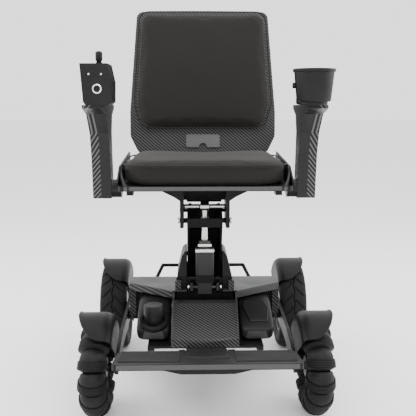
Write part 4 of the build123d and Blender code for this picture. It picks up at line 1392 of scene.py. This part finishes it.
@dataclass
class Arms:
    """Arms, pads, joystick box and cup holder."""

    pad_share: float = 1 - 0.0025 / 0.03
    pad_corner: float = 0.014
    pad_crown: float = 0.003
    screw_places: tuple = (-0.253, -0.283)
    cup_radius: float = 0.052
    cup_screw_level: float = 0.820

    def build(self) -> None:
        """Builds and dresses both arms and what stands on them."""
        for side in Side:
            keep_node(f"{side.word}_arm", "arm_carbon", 2.0)
            self.build_pad(side)
        keep_node("joystick_housing", "abs_satin", 2.4)
        low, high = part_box("joystick_housing")
        seats = [(x, low.y - 0.0004, high.z - 0.026) for x in self.screw_places]
        screws = [bolt(seat, (0, -1.0, 0), 0.0028, 0.0014) for seat in seats]
        place_piece(make_piece("joystick_box_screws", joined(screws), 30), "turned", "arm_right")
        keep_node("joystick_gimbal", "turned")
        self.build_stick()
        self.build_button()
        self.build_cup()

    def build_pad(self, side: Side) -> None:
        """The arm pad, stuffed from a rounded rectangle.

        Args:
            side: The arm's side.
        """
        low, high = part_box(f"{side.word}_arm_pad")
        corners = [(low.x, low.y), (high.x, low.y), (high.x, high.y), (low.x, high.y)]
        middle = np.array([(low.x + high.x) / 2, (low.y + high.y) / 2])
        line = middle + (np.array(corners) - middle) * self.pad_share
        pad = Cushion(
            f"{side.word}_arm_pad_padded",
            f"{side.word}_arm_pad",
            f"arm_{side.word}",
            rounded_outline(line.tolist(), self.pad_corner, 96),
            np.array([0, 0, low.z]),
            np.array([1.0, 0, 0]),
            np.array([0, 1.0, 0]),
            np.array([0, 0, 1.0]),
            high.z - low.z - 0.004,
            self.pad_crown,
            0.0,
            finish="foam_skin",
            cap=0.002,
            voxel=0.004,
            fill=0.9,
        )
        pad.build()

    def build_stick(self) -> None:
        """Stick with a ribbed boot and a round-topped knob, turned about Z."""
        at = np.array(JOINTS["joystick_fore_aft"]["pos_m"])
        turn = np.linspace(0, np.pi / 2, 8)
        boot = [(0.0, 0.0145), (0.0085, 0.0145), (0.0088, 0.0165)]
        boot += [(0.0070, 0.0172), (0.0076, 0.0190), (0.0055, 0.0200)]
        knob = [(0.0068, 0.021), (0.0086, 0.024), (0.0088, 0.036), (0.0088, 0.040)]
        dome = np.stack([0.0088 * np.cos(turn), 0.040 + 0.006 * np.sin(turn)], -1)
        profile = np.concatenate([np.array(boot + knob), dome])
        piece = make_piece("joystick_knob", revolve(profile, at, np.array([0, 0, 1.0]), 40), 40)
        place_piece(piece, "abs_satin", "stick", "joystick")

    def build_button(self) -> None:
        """Chrome ring round a dished dark button."""
        low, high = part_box("power_button")
        centre = np.array([(low.x + high.x) / 2, 0, (low.z + high.z) / 2])
        face = centre + np.array([0, low.y, 0])
        ring = [(0.0086, 0), (0.0086, 0.0028), (0.0098, 0.0036), (0.0115, 0.0028), (0.012, 0), (0.0086, 0)]
        seat = face + np.array([0, -0.0018, 0]) + np.array([0, 0.0022, 0])
        bezel = revolve(np.array(ring), seat, np.array([0, -1.0, 0]), 48)
        place_piece(make_piece("button_bezel", bezel, 30), "chrome", "arm_right")
        dish = [(0, 0.0004), (0.004, 0.0006), (0.007, 0.0014), (0.0079, 0.001), (0.008, -0.007), (0, -0.007)]
        cap = revolve(np.array(dish), face, np.array([0, -1.0, 0]), 40)
        place_piece(make_piece("button_cap", cap, 30), "powder_black", "button", "power_button")

    def build_cup(self) -> None:
        """Cup holder turned about Z: stepped foot, tapered wall, rolled rim and an open inside."""
        low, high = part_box("cup_holder")
        centre = np.array([high.x - self.cup_radius, (low.y + high.y) / 2, low.z])
        deep = high.z - low.z
        profile = [(0, 0), (0.033, 0), (0.034, 0.001), (0.034, 0.0075), (0.040, 0.0085), (0.0422, 0.012)]
        profile += [(0.0487, deep - 0.0085), (0.0512, deep - 0.0075), (self.cup_radius, deep - 0.005)]
        profile += [(self.cup_radius, deep - 0.0012), (0.0508, deep), (0.0486, deep), (0.0475, deep - 0.0015)]
        profile += [(0.0402, 0.0145), (0.038, 0.013), (0, 0.013)]
        cup = revolve(np.array(profile), centre, np.array([0, 0, 1.0]), 96)
        knob = [(0, 0), (0.0055, 0), (0.007, 0.001), (0.007, 0.0055), (0.006, 0.007), (0, 0.007)]
        place = np.array([low.x + 0.0075, centre[1], self.cup_screw_level])
        screw = revolve(np.array(knob), place, np.array([-1.0, 0, 0]), 24)
        piece = make_piece("cup_holder_turned", joined([cup, screw]), 32)
        place_piece(piece, "abs_satin", "arm_left", "cup_holder")


# ---------------------------------------------------------------- footplate


@dataclass
class Footplate:
    """Folding plate with ribbed treads and a bright front band."""

    tilt: float = math.radians(9.0)
    ribs: int = 9
    first_rib: float = 0.030
    rib_pitch: float = 0.0118
    rib_ends: tuple = (0.064, 0.200)
    rib_level: float = 0.0067
    tread: float = 0.0062
    half_width: float = 0.202
    reach: float = 0.1492

    def on_plate(self, local: np.ndarray) -> np.ndarray:
        """Places (x, out, up) points: out runs from the hinge to the front edge, up off the tread.

        Args:
            local: Points on the plate.

        Returns:
            The same points in the frame.
        """
        hinge = np.array(JOINTS["footplate_fold"]["pos_m"])
        out = np.array([0, -math.cos(self.tilt), math.sin(self.tilt)])
        up = np.array([0, math.sin(self.tilt), math.cos(self.tilt)])
        return hinge + local[..., :1] * np.array([1.0, 0, 0]) + local[..., 1:2] * out + local[..., 2:] * up

    def lay(self, name: str, patch: Patch, finish: str) -> None:
        """Places a patch given in the plate's own (x, out, up), dressed, riding on the plate.

        Args:
            name: The piece's name.
            patch: Its vertices on the plate, and quads.
            finish: A field name of Finishes.
        """
        vertices, quads = patch
        place_piece(make_piece(name, (self.on_plate(vertices), quads), 30), finish, "foot")

    def build(self) -> None:
        """Dresses the plate and adds ribs, the centre block with a bright lip as a painted highlight, and the
        front band.
        """
        keep_node("footplate", "abs_satin", 1.5)
        rib = np.array([[0, -0.0042, 0], [0, -0.0026, 0.0038], [0, 0.0026, 0.0038], [0, 0.0042, 0]])
        for side in Side:
            bars = []
            for index in range(self.ribs):
                out = self.first_rib + index * self.rib_pitch
                ends = [[side.value * end, out, self.rib_level] for end in self.rib_ends]
                bars.append(sweep(rib, np.array(ends)))
            self.lay(f"{side.word}_tread_ribs", joined(bars), "abs_satin")
        block = np.array([[-0.050, 0, 0], [-0.048, 0, 0.0034], [0.048, 0, 0.0034], [0.050, 0, 0]])
        ends = np.array([[0, 0.012, self.tread], [0, 0.094, self.tread]])
        self.lay("footplate_centre_block", sweep(block, ends), "abs_satin")
        # The lip's bright anodised finish is a painted highlight that stands for light caught along the
        # centre block's front edge.
        lip = np.array([[-0.048, 0, 0], [-0.048, 0, 0.0044], [0.048, 0, 0.0044], [0.048, 0, 0]])
        ends = np.array([[0, 0.0935, self.tread], [0, 0.0960, self.tread]])
        self.lay("footplate_block_lip", sweep(lip, ends), "anodised")
        band = np.array([[0, 0, -0.0062], [0, 0.0009, -0.0054], [0, 0.0009, 0.0054], [0, 0, 0.0062]])
        ends = np.array([[-self.half_width, self.reach, 0], [self.half_width, self.reach, 0]])
        self.lay("footplate_edge_band", sweep(band, ends), "anodised")


def main() -> None:
    """Builds the studio and every sub-assembly in order."""
    logging.basicConfig(level=logging.INFO, format="%(name)s: %(message)s")
    Studio().build()
    OmniWheels().build()
    DriveWheels().build()
    Guard("front_guards_shaped", "front_mudguards", (0.0, 0.122), 0.1315, (48, 148), 20).build()
    Guard("rear_guards_shaped", "rear_mudguards", (0.483, 0.136), 0.1455, (46, 140), 18).build()
    Base().build()
    Lift().build()
    Seat().build()
    Backrest().build()
    Arms().build()
    Footplate().build()


if __name__ == "__main__":
    main()
